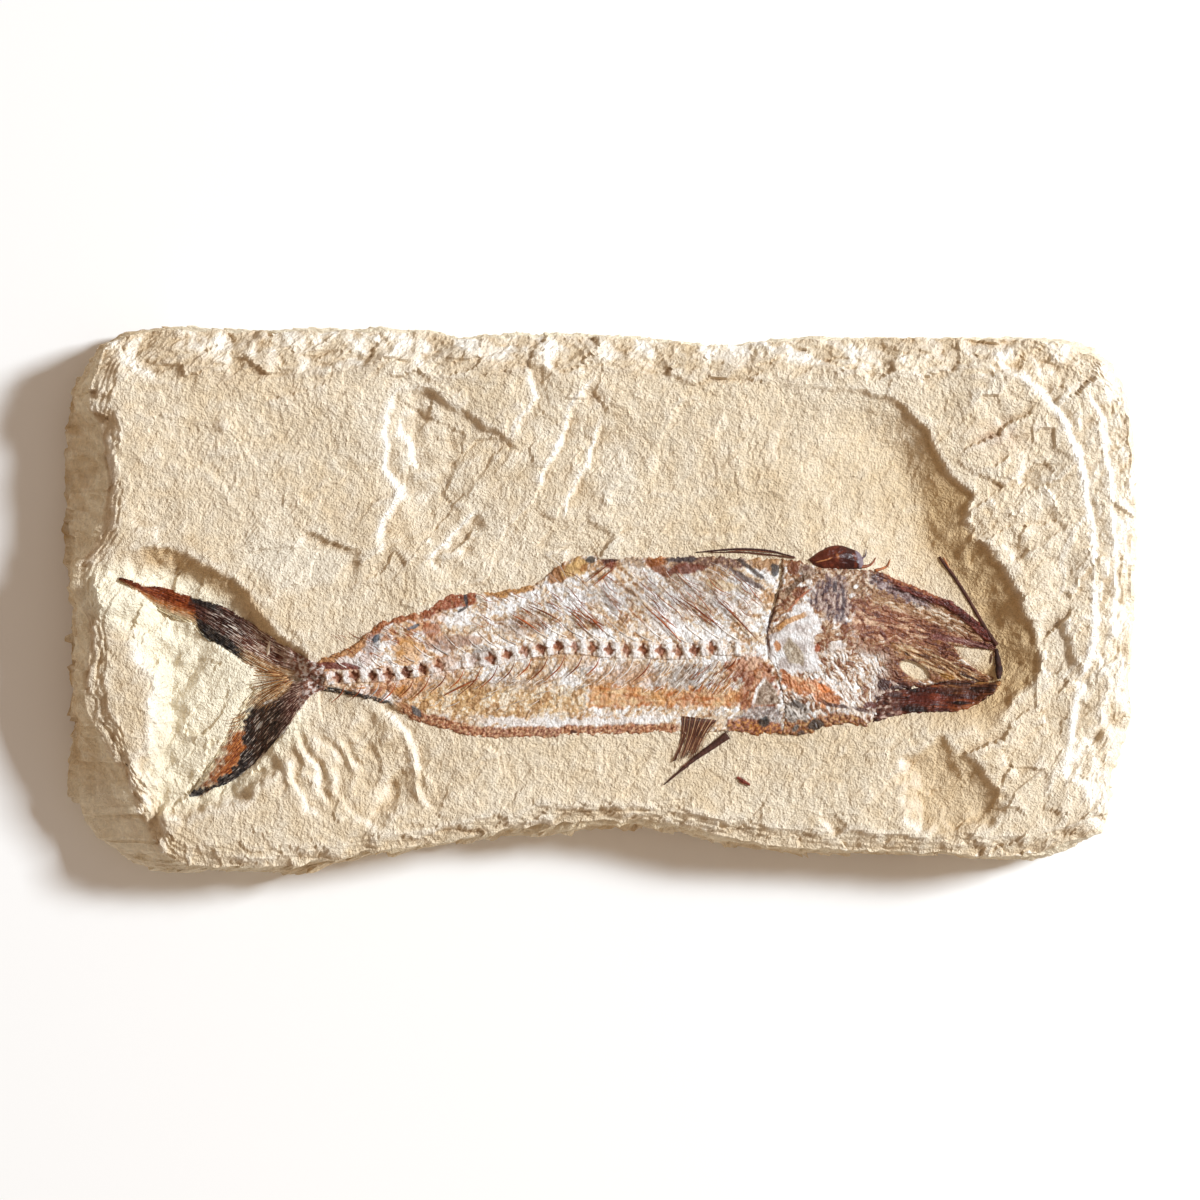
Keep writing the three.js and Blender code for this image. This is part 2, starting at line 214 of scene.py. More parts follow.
# Soft dents and bumps: place, radius, depth (a bump is negative).
DENTS = [
    (50, 50, 9, 0.9), (66, 33, 8, 0.9), (27, 33, 7, 0.6), (45, 27, 6, 0.5), (8, 48, 7, 0.5),
    (-105.5, 49.5, 1.7, -0.9), (-17, 62, 5, 0.9), (-124, -20, 3, 0.8), (112, 46, 7, 0.4),
    (-140, -30, 6, 0.9), (-118, -46, 7, 0.7), (124, 8, 5, -1.0), (118, 14, 3, 0.8),
    (130, 30, 6, -0.7), (-136, 0, 7, -0.8), (-112, -32, 9, -0.9), (-104, -10, 7, -0.5),
]
TOP_BAND = (63.0, 75.0, 3.4)  # where the flaked band along the top edge starts, ends, and its drop
RIM_DROP = (2.4, 6.0)  # how far the rim is broken down, and over what width
GRIT = 0.065  # the random height of the stone's grit, in mm
LEDGE = 0.75  # the step between the thin ledges that the rim breaks into
FOLDS = (-80.0, -47.0, 17.0, 12.0, 6.0)  # place, half sizes and spacing of the folds by the tail


# ---------------------------------------------------------------- curves, distances and noise


def smooth(value):
    """Goes from 0 to 1 as the value does, level at both ends (3 t squared less 2 t cubed)."""
    t = np.clip(value, 0.0, 1.0)
    return t * t * (3.0 - 2.0 * t)


def mix(a, b, share):
    """The straight blend from a to b by a share."""
    return a + (b - a) * share


def smooth_curve(points, count):
    """Places evenly spaced by length on the smooth curve through the points (Catmull-Rom)."""
    p = np.asarray(points, float)
    ends = np.vstack([2 * p[0] - p[1], p, 2 * p[-1] - p[-2]])
    t = np.linspace(0, len(p) - 1, 32 * (len(p) - 1) + 1)
    i = np.minimum(t.astype(int), len(p) - 2)
    f = (t - i)[:, None]
    a, b, c, d = ends[i], ends[i + 1], ends[i + 2], ends[i + 3]
    cubic = (3 * b - a - 3 * c + d) * f**3
    dense = 0.5 * (2 * b + (c - a) * f + (2 * a - 5 * b + 4 * c - d) * f**2 + cubic)
    length = np.concatenate([[0], np.cumsum(np.linalg.norm(np.diff(dense, axis=0), axis=1))])
    even = np.linspace(0, length[-1], count)
    return np.column_stack([np.interp(even, length, dense[:, k]) for k in range(p.shape[1])])


def along_line(x, y, line):
    """For each place: the distance to a broken line, which side of it (+1 left, -1 right of its
    direction), and how far along it the nearest point is, from 0 to 1."""
    p = np.asarray(line, float)
    legs = np.diff(p, axis=0)
    lengths = np.hypot(legs[:, 0], legs[:, 1])
    starts = np.concatenate([[0], np.cumsum(lengths)])
    best = np.full(np.shape(x), np.inf)
    side = np.ones(np.shape(x))
    share = np.zeros(np.shape(x))
    for (ax, ay), (dx, dy), length, start in zip(p[:-1], legs, lengths, starts):
        t = np.clip(((x - ax) * dx + (y - ay) * dy) / length**2, 0, 1)
        ex = x - ax - t * dx
        ey = y - ay - t * dy
        square = ex * ex + ey * ey
        nearer = square < best
        best = np.where(nearer, square, best)
        side = np.where(nearer, np.sign(dx * ey - dy * ex), side)
        share = np.where(nearer, (start + t * length) / starts[-1], share)
    return np.sqrt(best), side, share


def depth_inside(x, y, outline):
    """The distance from each place to a closed outline, positive inside it."""
    p = np.asarray(outline, float)
    nearest = np.full(np.shape(x), np.inf)
    inside = np.zeros(np.shape(x), bool)
    for (ax, ay), (bx, by) in zip(p, np.roll(p, -1, axis=0)):
        dx, dy = bx - ax, by - ay
        t = np.clip(((x - ax) * dx + (y - ay) * dy) / (dx**2 + dy**2), 0, 1)
        nearest = np.minimum(nearest, np.hypot(x - ax - t * dx, y - ay - t * dy))
        if ay != by:
            crosses = (ay > y) != (by > y)
            inside ^= crosses & (x < ax + dx * (y - ay) / dy)
    return np.where(inside, nearest, -nearest)


def noise(x, y, cell, seed):
    """Gradient noise, about -1 to 1: each corner of a square lattice has a random direction, and
    the dot products with the offsets from the four corners are blended by a quintic."""
    angle = np.random.default_rng(seed).uniform(0, 2 * math.pi, (LATTICE, LATTICE))
    fx = np.asarray(x, float) / cell + 40.5
    fy = np.asarray(y, float) / cell + 40.5
    ix = np.floor(fx).astype(int)
    iy = np.floor(fy).astype(int)
    u = fx - ix
    v = fy - iy

    def corner(i, j):
        a = angle[(ix + i) % LATTICE, (iy + j) % LATTICE]
        return np.cos(a) * (u - i) + np.sin(a) * (v - j)

    su = u * u * u * (u * (6 * u - 15) + 10)
    sv = v * v * v * (v * (6 * v - 15) + 10)
    low = mix(corner(0, 0), corner(1, 0), su)
    high = mix(corner(0, 1), corner(1, 1), su)
    return 1.5 * mix(low, high, sv)


def fractal(x, y, cell, seed, octaves=3, gain=0.5):
    """A sum of gradient noises, each at half the cell and a share of the height of the last."""
    total = 0.0
    height = 1.0
    for octave in range(octaves):
        total = total + height * noise(x, y, cell / 2**octave, seed + 31 * octave)
        height *= gain
    return total


def ridges(x, y, cell, seed, octaves):
    """Thin crests, 0 to 1: one less the size of a noise, where it passes through nought."""
    total = 0.0
    height = 1.0
    for octave in range(octaves):
        size = np.abs(noise(x, y, cell / 2**octave, seed + 17 * octave))
        total = total + height * (1.0 - np.minimum(size * 2.2, 1))
        height *= 0.5
    return total / (2.0 - 0.5**(octaves - 1))


def scoops(a, b, cell, seed):
    """Shell-shaped break scars, 0 in the middle of each to about 0.6 at the sharp crests between
    them: the squared distance to the nearest of a set of jittered lattice places."""
    rng = np.random.default_rng(seed)
    jitter = rng.uniform(0.1, 0.9, (2, SCARS, SCARS))
    fa = np.asarray(a, float) / cell + 20
    fb = np.asarray(b, float) / cell + 20
    ia = np.floor(fa).astype(int)
    ib = np.floor(fb).astype(int)
    best = np.full(fa.shape, np.inf)
    for i in (-1, 0, 1):
        for j in (-1, 0, 1):
            da = ia + i + jitter[0][(ia + i) % SCARS, (ib + j) % SCARS] - fa
            db = ib + j + jitter[1][(ia + i) % SCARS, (ib + j) % SCARS] - fb
            best = np.minimum(best, da * da + db * db)
    return best


def shards(a, b, cell, seed):
    """Broken flakes on a jittered lattice: for each place a random number of its flake, from -1
    to 1, how far it is from the flake's edge (the distance to the second nearest lattice place
    less that to the nearest), and the flake's own random tilt."""
    rng = np.random.default_rng(seed)
    jitter = rng.uniform(0.1, 0.9, (2, SCARS, SCARS))
    own = rng.uniform(-1, 1, (3, SCARS, SCARS))
    fa = np.asarray(a, float) / cell + 30
    fb = np.asarray(b, float) / cell + 30
    ia = np.floor(fa).astype(int)
    ib = np.floor(fb).astype(int)
    best = np.full(fa.shape, np.inf)
    second = best
    tone = np.zeros(fa.shape)
    tilt = tone
    for i in (-1, 0, 1):
        for j in (-1, 0, 1):
            at = (ia + i) % SCARS, (ib + j) % SCARS
            da = ia + i + jitter[0][at] - fa
            db = ib + j + jitter[1][at] - fb
            square = da * da + db * db
            nearer = square < best
            second = np.where(nearer, best, np.minimum(second, square))
            best = np.where(nearer, square, best)
            tone = np.where(nearer, own[0][at], tone)
            tilt = np.where(nearer, own[1][at] * da + own[2][at] * db, tilt)
    return tone, np.sqrt(second) - np.sqrt(best), tilt


def terrace(value, step, sharpness):
    """A slope broken into level treads: whole steps, joined by short steep rises."""
    scaled = value / step
    whole = np.floor(scaled)
    return step * (whole + smooth((scaled - whole - 0.5) * sharpness + 0.5))


def turned(x, y, degrees, stretch):
    """Coordinates along and across a direction, with the one along it shortened by a stretch, so
    that a noise on them is drawn out that way."""
    a = math.radians(degrees)
    return (x * math.cos(a) + y * math.sin(a)) / stretch, y * math.cos(a) - x * math.sin(a)


# ---------------------------------------------------------------- the slab's upper face


def bed_height(x, y):
    """Height of the upper face without its grain, in mm: the thickness and a slow swell, less the
    hollows (a sharp lip, then a bank), the flake edges, the dents, the crumbled rim and the band
    along the top, with a sine wave for the folds by the tail."""
    wx = x + 0.8 * fractal(x, y, 6.0, 11)
    wy = y + 0.8 * fractal(x, y, 6.0, 12)
    height = THICKNESS + 0.5 * np.sin(x / 31) * np.cos(y / 23)
    rubble = 1.7 * fractal(x, y, 6.5, 18, 3) * smooth((26 - y) / 10)
    for outline, depth, bank, centre, side in HOLLOWS:
        inside = depth_inside(wx, wy, outline) + rubble
        share = 1.0
        if centre:
            cx, cy, long, wide = centre
            share = 1 - np.exp(-(((x - cx) / long)**2 + ((y - cy) / wide)**2)**2)
        if side:
            cx, cy, dx, dy, reach = side
            share = share * smooth(((x - cx) * dx + (y - cy) * dy) / reach)
        lip = LIP_SHARE * smooth(inside / (LIP_WIDTH + 1.4 * smooth((20 - y) / 12)))
        height = height - depth * share * (lip + (1 - LIP_SHARE) * smooth(inside / bank))
    for line, drop, wall, reach in FLAKES:
        near = np.asarray(line, float)
        low = near.min(0) - 4 * reach
        high = near.max(0) + 4 * reach
        zone = (wx > low[0]) & (wx < high[0]) & (wy > low[1]) & (wy < high[1])
        distance, side, share = along_line(wx[zone], wy[zone], line)
        below = smooth(distance * side / wall) * np.exp(-distance / reach)
        ends = smooth(share / 0.14) * smooth((1 - share) / 0.14)
        uneven = 1.5 + 0.6 * fractal(x[zone], y[zone], 9.0, 17, 2)
        height[zone] -= uneven * drop * ends * below
    for cx, cy, radius, depth in DENTS:
        height = height - depth * np.exp(-((wx - cx)**2 + (wy - cy)**2) / radius**2)
    start, end, drop = TOP_BAND
    broken = drop * smooth((wy + 3.5 * fractal(x, y, 13.0, 15, 2) - start) / (end - start))
    drop, width = RIM_DROP
    edge = depth_inside(wx, wy, outline_of(RIM)) + 2.0 * fractal(x, y, 15.0, 13, 2)
    broken = broken + drop * smooth(1 - edge / width)
    cx, cy, long, wide, spacing = FOLDS
    zone = smooth(1.3 - np.hypot((x - cx) / long, (y - cy) / wide))
    bent = wx + 0.5 * wy + 3.5 * fractal(x, y, 11.0, 16, 2)
    height = height + 0.7 * zone * np.sin(2 * math.pi * bent / spacing)
    return height - terrace(broken + 0.25 * fractal(x, y, 9.0, 14), LEDGE, 5.0)


def rough_share(x, y):
    """How rough the stone is, 0 to 1: rough and flaked at the right and along the top, smooth in
    the hollows that were ground round the head, the throat and the tail."""
    rough = 0.5 + 0.5 * smooth((x - 95) / 25) * smooth((y + 35) / 30)
    rough = np.maximum(rough, smooth((y - 60) / 6))
    rough = rough * (1 - 0.75 * smooth(depth_inside(x, y, HOLLOWS[0][0]) / 5))
    ahead = smooth(depth_inside(x, y, HOLLOWS[1][0]) / 3) * smooth((x - 86) / 8)
    rough = rough * (1 - 0.7 * ahead)
    return rough * (1 - 0.8 * smooth(depth_inside(x, y, HOLLOWS[2][0]) / 3))


def broken_plates(x, y):
    """The split stone's thin plates, in mm: each flake of a warped, jittered lattice lies at its
    own level and its own tilt, drawn out along the nearest edge of the slab. They are deep at the
    rim and beyond the crest, and shallow where the stone was ground."""
    wx = x + 2.0 * fractal(x, y, 12.0, 31, 2)
    wy = y + 2.0 * fractal(x, y, 12.0, 32, 2)
    rim = 1 - smooth((depth_inside(x, y, outline_of(RIM)) - 1.5) / 5)
    distance, side, _ = along_line(wx, wy, CREST)
    right = smooth(distance * side / 2.5)
    above = np.maximum(smooth((wy - 60.5) / 3), rim * (y > 50))
    middle = smooth((x + 64) / 6) * smooth((14 - x) / 12) * smooth((y - 4) / 8)
    tail = smooth(depth_inside(wx, wy, HOLLOWS[0][0]) / 5)
    ahead = smooth(depth_inside(x, y, HOLLOWS[1][0]) / 2.5)
    total = 0.0
    for degrees, stretch, cell, level, lean, seed, share in (
        (14, 3.2, 5.0, 0.8, 1.5, 33, above),
        (66, 1.7, 8.5, 0.6, 2.0, 35, right * (1 - above)),
        (60, 2.2, 3.6, 0.08, 0.4, 36, np.maximum(right, above)),
        (4, 3.0, 4.4, 0.5, 1.1, 39, rim * (y < -50)),
        (78, 2.6, 5.0, 0.4, 1.1, 40, rim * (x < -120)),
        (52, 2.6, 8.0, 0.2, 0.8, 37, middle * (1 - above)),
        (35, 1.5, 8.0, 0.4, 1.7, 41, smooth((x - 98) / 8) * (1 - right) * (1 - ahead)),
        (56, 2.4, 6.5, 0.22, 1.2, 42, tail),
        (25, 1.6, 10.0, 0.1, 0.5, 38, 1 - 0.8 * ahead),
    ):
        tone, _, tilt = shards(*turned(wx, wy, degrees, stretch), cell, seed)
        total = total + (level * tone + lean * tilt) * share
    return total


def face_grain(x, y):
    """The stone's own surface on top of its bed, in mm: level flake treads, broken plates, pits,
    and the strokes of the preparing tool round the tail."""
    rough = rough_share(x, y)
    swell = fractal(x, y, 26.0, 21, 4) * 1.7
    treads = terrace(swell, 0.55, 5.0) - swell * 0.55
    pits = fractal(x, y, 2.6, 27, 1) * 0.16 + fractal(x, y, 7.5, 26, 1) * 0.2
    pits = pits + np.random.default_rng(20).normal(0.0, GRIT, np.shape(x))
    line, _ = stone_crests(x, y)
    tail = smooth(depth_inside(x, y, HOLLOWS[0][0]) / 5)
    chisel = fractal(*turned(x, y, 52, 2.4), 8.0, 29, 2) * 1.3 * tail
    chisel = chisel + fractal(x, y, 10.0, 24, 3) * 1.5 * tail * smooth((-106 - x) / 10)
    return (
        treads * mix(0.4, 0.9, rough) + broken_plates(x, y) + pits * mix(0.5, 1.0, rough)
        + chisel + 0.3 * line
    )


def stone_crests(x, y):
    """Bruised crest lines of the split, slanting up to the right: how high each stands, and where
    they are found, both 0 to 1."""
    bend = 3.0 * fractal(x, y, 16.0, 30, 2)
    crest = ridges(*turned(x + bend, y + bend, 66, 1.7), 12.0, 28, 2)
    zone = 0.45 * smooth((x + 66) / 6) * smooth((12 - x) / 10) * smooth((y - 2) / 8)
    zone = np.maximum(zone, smooth((x - 118) / 12) * smooth((y + 66) / 6))
    return smooth((crest - 0.68) / 0.2) * zone, zone


# ---------------------------------------------------------------- meshes


def linear(hex_colour):
    """A colour written as sRGB hex, as linear red, green and blue; one that is given as three
    linear numbers stays as it is."""
    if not isinstance(hex_colour, str):
        return np.array(hex_colour)
    channels = np.array([int(hex_colour[i:i + 2], 16) for i in (1, 3, 5)]) / 255.0
    return np.where(channels <= 0.04045, channels / 12.92, ((channels + 0.055) / 1.055)**2.4)


def paint(colours, share, hex_colour):
    """Blends a colour into an array of colours by a share at each place."""
    share = np.clip(share, 0, 1)[..., None]
    return colours + (linear(hex_colour) - colours) * share


def layers(colours, *coats):
    """Lays on coats of paint in turn, each a share and a colour."""
    for share, hex_colour in coats:
        colours = paint(colours, share, hex_colour)
    return colours


def plain(shape, hex_colour):
    """An array of one colour."""
    return np.broadcast_to(linear(hex_colour), (*shape, 3)).copy()


def make_object(name, points, faces, material, nodes, colours, rounded=True):
    """A mesh, shaded smooth or flat, at the origin from places in mm, with a colour at each place,
    riding on the body. Faces is a list of whole arrays, each with one number of corners a face."""
    points = np.asarray(points, float).reshape(-1, 3) * MM
    mesh = bpy.data.meshes.new(name)
    corners = np.concatenate([np.asarray(f).ravel() for f in faces]).astype(np.int32)
    sizes = np.concatenate([np.full(len(f), np.shape(f)[1]) for f in faces]).astype(np.int32)
    starts = np.concatenate([[0], np.cumsum(sizes)[:-1]]).astype(np.int32)
    mesh.vertices.add(len(points))
    mesh.vertices.foreach_set("co", points.astype(np.float32).ravel())
    mesh.loops.add(len(corners))
    mesh.loops.foreach_set("vertex_index", corners)
    mesh.polygons.add(len(starts))
    mesh.polygons.foreach_set("loop_start", starts)
    mesh.update(calc_edges=True)
    mesh.polygons.foreach_set("use_smooth", np.full(len(starts), rounded))
    layer = mesh.attributes.new("colour", "FLOAT_COLOR", "POINT")
    rgba = np.column_stack([np.reshape(colours, (-1, 3)), np.ones(len(points))])
    layer.data.foreach_set("color", rgba.astype(np.float32).ravel())
    mesh.materials.append(material)
    mesh.validate()
    piece = bpy.data.objects.new(name, mesh)
    bpy.context.scene.collection.objects.link(piece)
    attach(piece, BODY)
    if nodes:
        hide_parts(*nodes)


def grid_faces(rows, columns, start=0):
    """The four-sided faces of a grid of rows by columns places, rows running along +X and columns
    along +Y, facing up."""
    index = start + np.arange(rows * columns).reshape(rows, columns)
    sides = (index[:-1, :-1], index[1:, :-1], index[1:, 1:], index[:-1, 1:])
    return np.stack(sides, axis=-1).reshape(-1, 4)


def lying_sheet(top, sink):
    """A closed low body from a grid of places for its upper side: walls go down by the sink from
    the two long edges, and one face to a column of the grid closes the underside. Returns the
    places, the faces, and the grid place that each place takes its colour from."""
    rows, columns = top.shape[:2]
    count = rows * columns
    grid = np.arange(count).reshape(rows, columns)
    low = [top[:, 0] - (0, 0, sink), top[:, -1] - (0, 0, sink)]
    near = count + np.arange(rows)
    far = near + rows
    walls = np.concatenate([
        np.stack((near[:-1], near[1:], grid[1:, 0], grid[:-1, 0]), -1),
        np.stack((far[1:], far[:-1], grid[:-1, -1], grid[1:, -1]), -1),
        np.stack((near[1:], near[:-1], far[:-1], far[1:]), -1),
    ])
    first = np.concatenate([[near[0]], grid[0], [far[0]]])[None]
    last = np.concatenate([[far[-1]], grid[-1][::-1], [near[-1]]])[None]
    points = np.concatenate([top.reshape(-1, 3), *low])
    source = np.concatenate([np.arange(count), grid[:, 0], grid[:, -1]])
    return points, [grid_faces(rows, columns), walls, first, last], source


def strands(paths, widths, heights, sides):
    """Many tapered strands as one mesh: paths is strands by steps by 3 places in mm, widths and
    heights are strands by steps. Each step carries a ring on an ellipse, squarely across the path
    and upright, and both ends are closed by a face."""
    paths = np.asarray(paths, float)
    many, steps = paths.shape[:2]
    along = np.gradient(paths, axis=1)[..., :2]
    along /= np.maximum(np.linalg.norm(along, axis=-1, keepdims=True), 1e-9)
    across = np.stack((-along[..., 1], along[..., 0], np.zeros((many, steps))), -1)
    turn = 2 * math.pi * np.arange(sides) / sides
    out = np.cos(turn)[:, None] * across[:, :, None, :] * (widths / 2)[:, :, None, None]
    up = np.zeros((many, steps, sides, 3))
    up[..., 2] = np.sin(turn) * heights[:, :, None] / 2
    points = paths[:, :, None, :] + out + up
    index = np.arange(many * steps * sides).reshape(many, steps, sides)
    after = np.roll(index, -1, axis=2)
    tube = np.stack((index[:, :-1], after[:, :-1], after[:, 1:], index[:, 1:]), -1).reshape(-1, 4)
    caps = np.concatenate([index[:, 0, ::-1], index[:, -1]])
    return points.reshape(-1, 3), [tube, caps]


# ---------------------------------------------------------------- materials


def add_node(tree, kind, inputs=None, **settings):
    """Adds a node with its settings, and sets its inputs, by name or place, to a value or to the
    first output of another node."""
    node = tree.nodes.new(kind)
    for key, value in settings.items():
        setattr(node, key, value)
    for key, value in (inputs or {}).items():
        if isinstance(value, bpy.types.Node):
            value = next(socket for socket in value.outputs if socket.enabled)
        if isinstance(value, bpy.types.NodeSocket):
            tree.links.new(value, node.inputs[key])
        else:
            node.inputs[key].default_value = value
    return node


def painted_mineral(name, mottle_mm, grain_mm, slant, along, strengths, bump, finish):
    """A mineral surface with the piece's own painted colours. Its tone is multiplied by a slow
    mottle, a fine grain drawn out along a slant, and a dust of half a millimetre, each by so much
    either way, and the grain and the dust are also a bump."""
    material = bpy.data.materials.new(name)
    material.use_nodes = True
    tree = material.node_tree
    tree.nodes.clear()
    place = add_node(tree, "ShaderNodeTexCoord").outputs["Object"]
    tone = add_node(tree, "ShaderNodeAttribute", attribute_name="colour").outputs["Color"]
    slanted = add_node(
        tree, "ShaderNodeMapping",
        {"Vector": place, "Rotation": (0.0, 0.0, math.radians(slant)), "Scale": (1.0, along, 1.0)},
    )
    layers = []
    for vector, size, detail, strength in (
        (place, mottle_mm, 4.0, strengths[0]),
        (slanted, grain_mm, 3.0, strengths[1]),
        (place, 0.5, 2.0, strengths[2]),
    ):
        layer = add_node(
            tree, "ShaderNodeTexNoise",
            {"Vector": vector, "Scale": 0.8 / (size * MM), "Detail": detail, "Roughness": 0.6},
        )
        layers.append(layer)
        grey = add_node(
            tree, "ShaderNodeMapRange",
            {"Value": layer, "From Min": 0.32, "From Max": 0.68, "To Min": 1 - strength,
             "To Max": 1 + strength},
        )
        mixed = {"Factor": 1.0, 6: tone, 7: grey}
        tone = add_node(tree, "ShaderNodeMix", mixed, data_type="RGBA", blend_type="MULTIPLY")
    height = add_node(tree, "ShaderNodeMath", {0: layers[1], 1: layers[2]}, operation="ADD")
    bumped = add_node(
        tree, "ShaderNodeBump",
        {"Strength": 1.0, "Distance": bump * MM, "Height": height},
    )
    shader = add_node(
        tree, "ShaderNodeBsdfPrincipled", {"Base Color": tone, "Normal": bumped, **finish},
    )
    add_node(tree, "ShaderNodeOutputMaterial", {"Surface": shader})
    return material


def limestone_material(settings):
    """Chalky fine-grained limestone, split and then worked with a point. To the eye it is dead
    matt and powdery, cream where it is bruised and tan where it is not, with a 1 mm grain. The
    colours it reads from each piece also hold painted highlight and painted shade."""
    return painted_mineral(
        "worked chalky limestone", 14.0, settings.grain, 40.0, 0.85, (0.05, 0.1, 0.06),
        settings.grain_bump,
        {"Roughness": 0.95, "IOR": 1.5, "Specular IOR Level": 0.15},
    )


def bone_material(name, roughness, coat, grain_mm, slant, bump):
    """Fossil bone or skin: a brittle mineral film, satin to glossy, crackled and fibrous."""
    return painted_mineral(
        name, 4.0, grain_mm, slant, 0.5, (0.06, 0.16, 0.08), bump,
        {"Roughness": roughness, "IOR": 1.55, "Specular IOR Level": 0.3, "Coat Weight": coat,
         "Coat Roughness": 0.18},
    )


# ---------------------------------------------------------------- the slab


def coons_patch(ring, columns, rows):
    """Places inside four side curves: the surface ruled between top and bottom, plus the one
    between left and right, less the one between the four corners."""
    top = smooth_curve(ring["top"], columns)
    bottom = smooth_curve(ring["bottom"], columns)
    left = smooth_curve(ring["left"], rows)
    right = smooth_curve(ring["right"], rows)
    u = np.linspace(0, 1, columns)[:, None, None]
    v = np.linspace(0, 1, rows)[None, :, None]
    ruled_up = mix(bottom[:, None], top[:, None], v)
    ruled_along = mix(left[None], right[None], u)
    corners = mix(mix(bottom[0], bottom[-1], u), mix(top[0], top[-1], u), v)
    return ruled_up + ruled_along - corners


def border(grid):
    """The outer places of a grid, once round, running +X, +Y, -X, -Y, with no place twice."""
    return np.concatenate([grid[:-1, 0], grid[-1, :-1], grid[:0:-1, -1], grid[0, :0:-1]])


def slab_top():
    """Upper face: a patch inside the rim, raised to the bed's height and its grain, with the rim
    itself crumbled down a little."""
    flat = coons_patch(RIM, CELLS_LONG + 1, CELLS_WIDE + 1)
    x, y = flat[..., 0], flat[..., 1]
    u = np.linspace(0, 1, CELLS_LONG + 1)[:, None]
    v = np.linspace(0, 1, CELLS_WIDE + 1)[None, :]
    edge = np.minimum(np.minimum(u, 1 - u) * FACE_LONG, np.minimum(v, 1 - v) * FACE_WIDE)
    ragged = 0.5 + 0.5 * fractal(x, y, 9.0, 41)
    under = fossil_cover(x, y)
    height = bed_height(x, y) + face_grain(x, y) * (1 - under) - 0.45 * under
    height -= (0.3 + 0.9 * ragged) * np.exp(-(edge / 1.3)**2)
    shift = 0.8 * np.exp(-edge / 3.0)
    x = x + shift * fractal(flat[..., 0], flat[..., 1], 6.0, 42)
    y = y + shift * fractal(flat[..., 0], flat[..., 1], 6.0, 43)
    return np.stack((x, y, height), -1)


def wall_rings(rim):
    """The broken walls, level by level: from the rim out to the widest level and in to the foot,
    swollen and scooped by break scars that are largest half way down."""
    columns, rows = CELLS_LONG + 1, CELLS_WIDE + 1
    widest = border(coons_patch(WIDEST, columns, rows)) * WIDEST_SPREAD
    foot = widest * FOOT_INSET
    way = np.concatenate([[0], np.cumsum(np.linalg.norm(np.diff(widest, axis=0), axis=1))])
    outward = widest / np.linalg.norm(widest / HALF_SIZES, axis=1, keepdims=True)
    outward /= np.linalg.norm(outward, axis=1, keepdims=True)
    seam = smooth(np.minimum(way, way[-1] - way) / SEAM_REACH)
    side = 1 - 0.65 * np.clip(outward[:, 1], 0, 1) - 0.4 * np.clip(outward[:, 0], 0, 1)
    rings = []
    for level in WALL_LEVELS:
        if level > WIDEST_AT:
            share = ((level - WIDEST_AT) / (1 - WIDEST_AT))**1.25
            flat = mix(widest, rim[:, :2], share)
        else:
            flat = mix(widest, foot, 1 - smooth(level / WIDEST_AT))
        z = level * rim[:, 2]
        deep = 0.45 + 0.55 * math.sin(math.pi * level)**0.6 if level > 0 else 0.0
        big = (0.3 - scoops(way, z * 1.6 + 50, 24.0, 51)) * 3.8
        bent = z * 1.5 + 0.25 * way + 2.5 * fractal(way, z, 11.0, 55, 2)
        tone, _, tilt = shards(way * 0.6, bent, 5.5, 52)
        small = 0.9 * tone + 2.3 * tilt
        fine = fractal(way, z * 1.5, 3.0, 53, 2) * 0.65
        beds = terrace(z + fractal(way, z, 30.0, 54) * 2.0, 4.2, 4.0) - z
        push = ((big + small) * side + fine + 0.22 * beds) * deep * seam
        placed = flat + outward * push[:, None]
        rings.append(np.column_stack([placed, z if level > 0 else np.full(len(z), FOOT_HEIGHT)]))
    return rings


def underside():
    """The split underside: a coarse patch inside the foot, flat but for shallow pits that never
    reach below its resting plane."""
    columns, rows = CELLS_LONG // COARSE + 1, CELLS_WIDE // COARSE + 1
    flat = coons_patch(WIDEST, columns, rows) * (WIDEST_SPREAD * FOOT_INSET * PATCH_INSET)
    x, y = flat[..., 0], flat[..., 1]
    pits = scoops(*turned(x, y, 15, 1.5), 22.0, 61) + 0.5 * np.abs(fractal(x, y, 12.0, 62))
    return np.stack((x, y, np.maximum(pits - 0.25, 0) * 0.9), -1)


